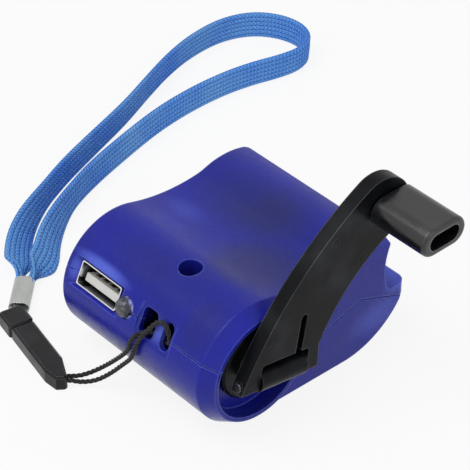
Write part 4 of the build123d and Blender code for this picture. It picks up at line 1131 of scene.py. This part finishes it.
# ------------------------------------------------------------------ lamp
@dataclass(frozen=True)
class LampPosts:
    """The posts inside the clear lamp, in millimetres: one has a cup, the other an anvil."""

    y: float = 4.2  # of the lamp's axis
    foot: float = 9.0  # from the hub axis, as the top is
    top: float = 12.6
    radius: float = 0.28
    cup_radius: float = 1.05
    cup_wall: float = 0.18
    cup_deep: float = 0.5
    dish_radius: float = 0.35
    dish: float = 0.1
    cup_aside: float = -0.45  # from the lamp's axis
    anvil_aside: float = 0.855

    def build(self) -> list[bpy.types.Object]:
        """Turn both posts.

        Returns:
            The post with the cup and the anvil.
        """
        tall = self.top - self.foot
        cup = (
            (0.0, 0.0),
            (self.radius, 0.0),
            (self.radius, tall - 0.6),
            (self.cup_radius, tall),
            (self.cup_radius, tall + self.cup_deep),
            (self.cup_radius - self.cup_wall, tall + self.cup_deep),
            (self.dish_radius, tall + self.dish),
            (0.0, tall + self.dish),
        )
        anvil = (
            (0.0, 0.0),
            (self.radius, 0.0),
            (self.radius, tall - 0.2),
            (self.radius * 1.5, tall + 0.2),
            (self.radius * 1.3, tall + 0.6),
            (0.0, tall + 0.6),
        )
        wanted = (
            ("lamp_cup_post", cup, self.cup_aside),
            ("lamp_anvil_post", anvil, self.anvil_aside),
        )
        posts = []
        for name, profile, aside in wanted:
            foot = Vector(nose_point(self.y + aside, 0.0, self.foot)) * MM
            rings = [(radius * MM, height * MM) for radius, height in profile]
            made = turned(rings, foot, NOSE_OUT)
            post = add_piece(name, settle(made, name), Palette.TINNED.value)
            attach(post, "chassis")
            posts.append(post)
        LOG.info("lamp posts: %d", len(posts))
        return posts


# ------------------------------------------------------------------ CAD nodes
class FittedNodes:
    """The CAD nodes that stay, each with the finish of its slot."""

    def build(self) -> None:
        """Cover every node."""
        slots = {row["node"]: row["material_slot"] for row in frame["record"]["subparts"]}
        for name, node in frame["nodes"].items():
            finish = NODE_FINISH.get(name, SLOT_FINISH[slots[name]]).value
            covers = node.data.materials
            if not covers:
                covers.append(finish.material())
            for index in range(len(covers)):
                covers[index] = finish.material()
            LOG.info("node %s: %s", name, finish.name)


# ------------------------------------------------------------------ studio
@dataclass(frozen=True)
class SoftBox:
    """A square lamp that looks at a target; its power is in watts."""

    name: str
    place: Point
    target: Point
    size: float
    power: float

    def build(self) -> None:
        """Hang the lamp."""
        light = bpy.data.lights.new(self.name, "AREA")
        light.size = self.size
        light.energy = self.power
        lamp = show(self.name, light)
        lamp.location = self.place
        look = Vector(self.target) - Vector(self.place)
        lamp.rotation_euler = look.to_track_quat("-Z", "Y").to_euler()


@dataclass(frozen=True)
class Studio:
    """Camera, pale floor, soft lamps and a white surround."""

    azimuth: float = -42.077  # the camera's angles in degrees
    elevation: float = 38.14
    roll: float = 0.192
    lens: float = 169.81  # in millimetres, as the sensor is
    sensor: float = 36.0
    eye: Point = (-0.251709, -0.277812, 0.322852)
    surround: float = 0.45
    floor_reach: float = 3.0
    floor_drop: float = 0.0001
    floor_lift: float = 0.88  # how much of the floor is plain white to the camera
    boxes: tuple[SoftBox, ...] = (
        SoftBox("key_box", (-0.30, 0.10, 0.75), (0.0, 0.0, 0.0), 0.5, 2.6),
        SoftBox("front_box", (0.15, -0.75, 0.35), (0.0, 0.0, 0.01), 0.6, 1.0),
        SoftBox("nose_box", (-0.75, -0.1, 0.3), (0.0, 0.0, 0.01), 0.5, 0.35),
    )

    def camera(self) -> None:
        """Set up the camera of the photograph."""
        turn, tilt, lean = (math.radians(v) for v in (self.azimuth, self.elevation, self.roll))
        right = Vector((math.cos(turn), math.sin(turn), 0.0))
        level = math.cos(tilt)
        ahead = Vector((-math.sin(turn) * level, math.cos(turn) * level, -math.sin(tilt)))
        up = right.cross(ahead)
        across = right * math.cos(lean) + up * math.sin(lean)
        above = up * math.cos(lean) - right * math.sin(lean)
        data = bpy.data.cameras.new("camera")
        data.sensor_width = self.sensor
        data.lens = self.lens
        camera = show("camera", data)
        place = Matrix((across, above, -ahead)).transposed().to_4x4()
        place.translation = Vector(self.eye)
        camera.matrix_world = place
        bpy.context.scene.camera = camera

    def seen(self, graph: Graph) -> Socket:
        """Tell the camera's rays from the others.

        Args:
            graph: The graph of the floor or the surroundings.

        Returns:
            1 for rays from the camera, also by way of gloss or glass.
        """
        path = graph.add("ShaderNodeLightPath").outputs
        first = graph.math("MAXIMUM", path["Is Camera Ray"], path["Is Glossy Ray"])
        return graph.math("MAXIMUM", first, path["Is Transmission Ray"])

    def floor(self) -> None:
        """Lay the floor, which keeps the object's shadow."""
        made = bmesh.new()
        turns = ((-1, -1), (1, -1), (1, 1), (-1, 1))
        far, low = self.floor_reach, -self.floor_drop
        made.faces.new([made.verts.new((x * far, y * far, low)) for x, y in turns])
        sheet = show("studio_floor", settle(made, "studio_floor"))
        paper = bpy.data.materials.new("floor_paper")
        paper.use_nodes = True
        graph = ShaderGraph(paper.node_tree)
        fibre = graph.noise(graph.place(), 300.0)
        tone = graph.mix(graph.vary(fibre, 0.0, 1.0), (0.86, 0.86, 0.87, 1.0), (0.9, 0.9, 0.9, 1.0))
        matt = graph.add("ShaderNodeBsdfDiffuse", {"Color": tone})
        white = graph.add("ShaderNodeEmission", {"Color": WHITE, "Strength": 1.0})
        lift = graph.math("MULTIPLY", self.seen(graph), self.floor_lift)
        blend = graph.add("ShaderNodeMixShader", {0: lift, 1: matt.outputs[0], 2: white.outputs[0]})
        graph.add("ShaderNodeOutputMaterial", {"Surface": blend.outputs[0]})
        sheet.data.materials.append(paper)

    def surroundings(self) -> None:
        """Light the scene evenly from all round, against plain white."""
        world = bpy.data.worlds.new("studio_white")
        world.use_nodes = True
        graph = Graph(world.node_tree)
        soft = graph.add("ShaderNodeBackground", {"Color": WHITE, "Strength": self.surround})
        white = graph.add("ShaderNodeBackground", {"Color": WHITE, "Strength": 1.0})
        seen = self.seen(graph)
        blend = graph.add("ShaderNodeMixShader", {0: seen, 1: soft.outputs[0], 2: white.outputs[0]})
        graph.add("ShaderNodeOutputWorld", {"Surface": blend.outputs[0]})
        bpy.context.scene.world = world

    def build(self) -> None:
        """Set up the camera, the floor, the surroundings and the lamps."""
        self.camera()
        self.floor()
        self.surroundings()
        for box in self.boxes:
            box.build()
        bpy.context.scene.view_settings.view_transform = "Standard"
        LOG.info("studio: %d lamps", len(self.boxes))


def main() -> None:
    """Build the studio and the charger."""
    logging.basicConfig(level=logging.INFO, format="%(message)s")
    for assembly in (Studio(), TwistedCord(), WristStrap(), FittedNodes(), LampPosts()):
        assembly.build()


if __name__ == "__main__":
    main()
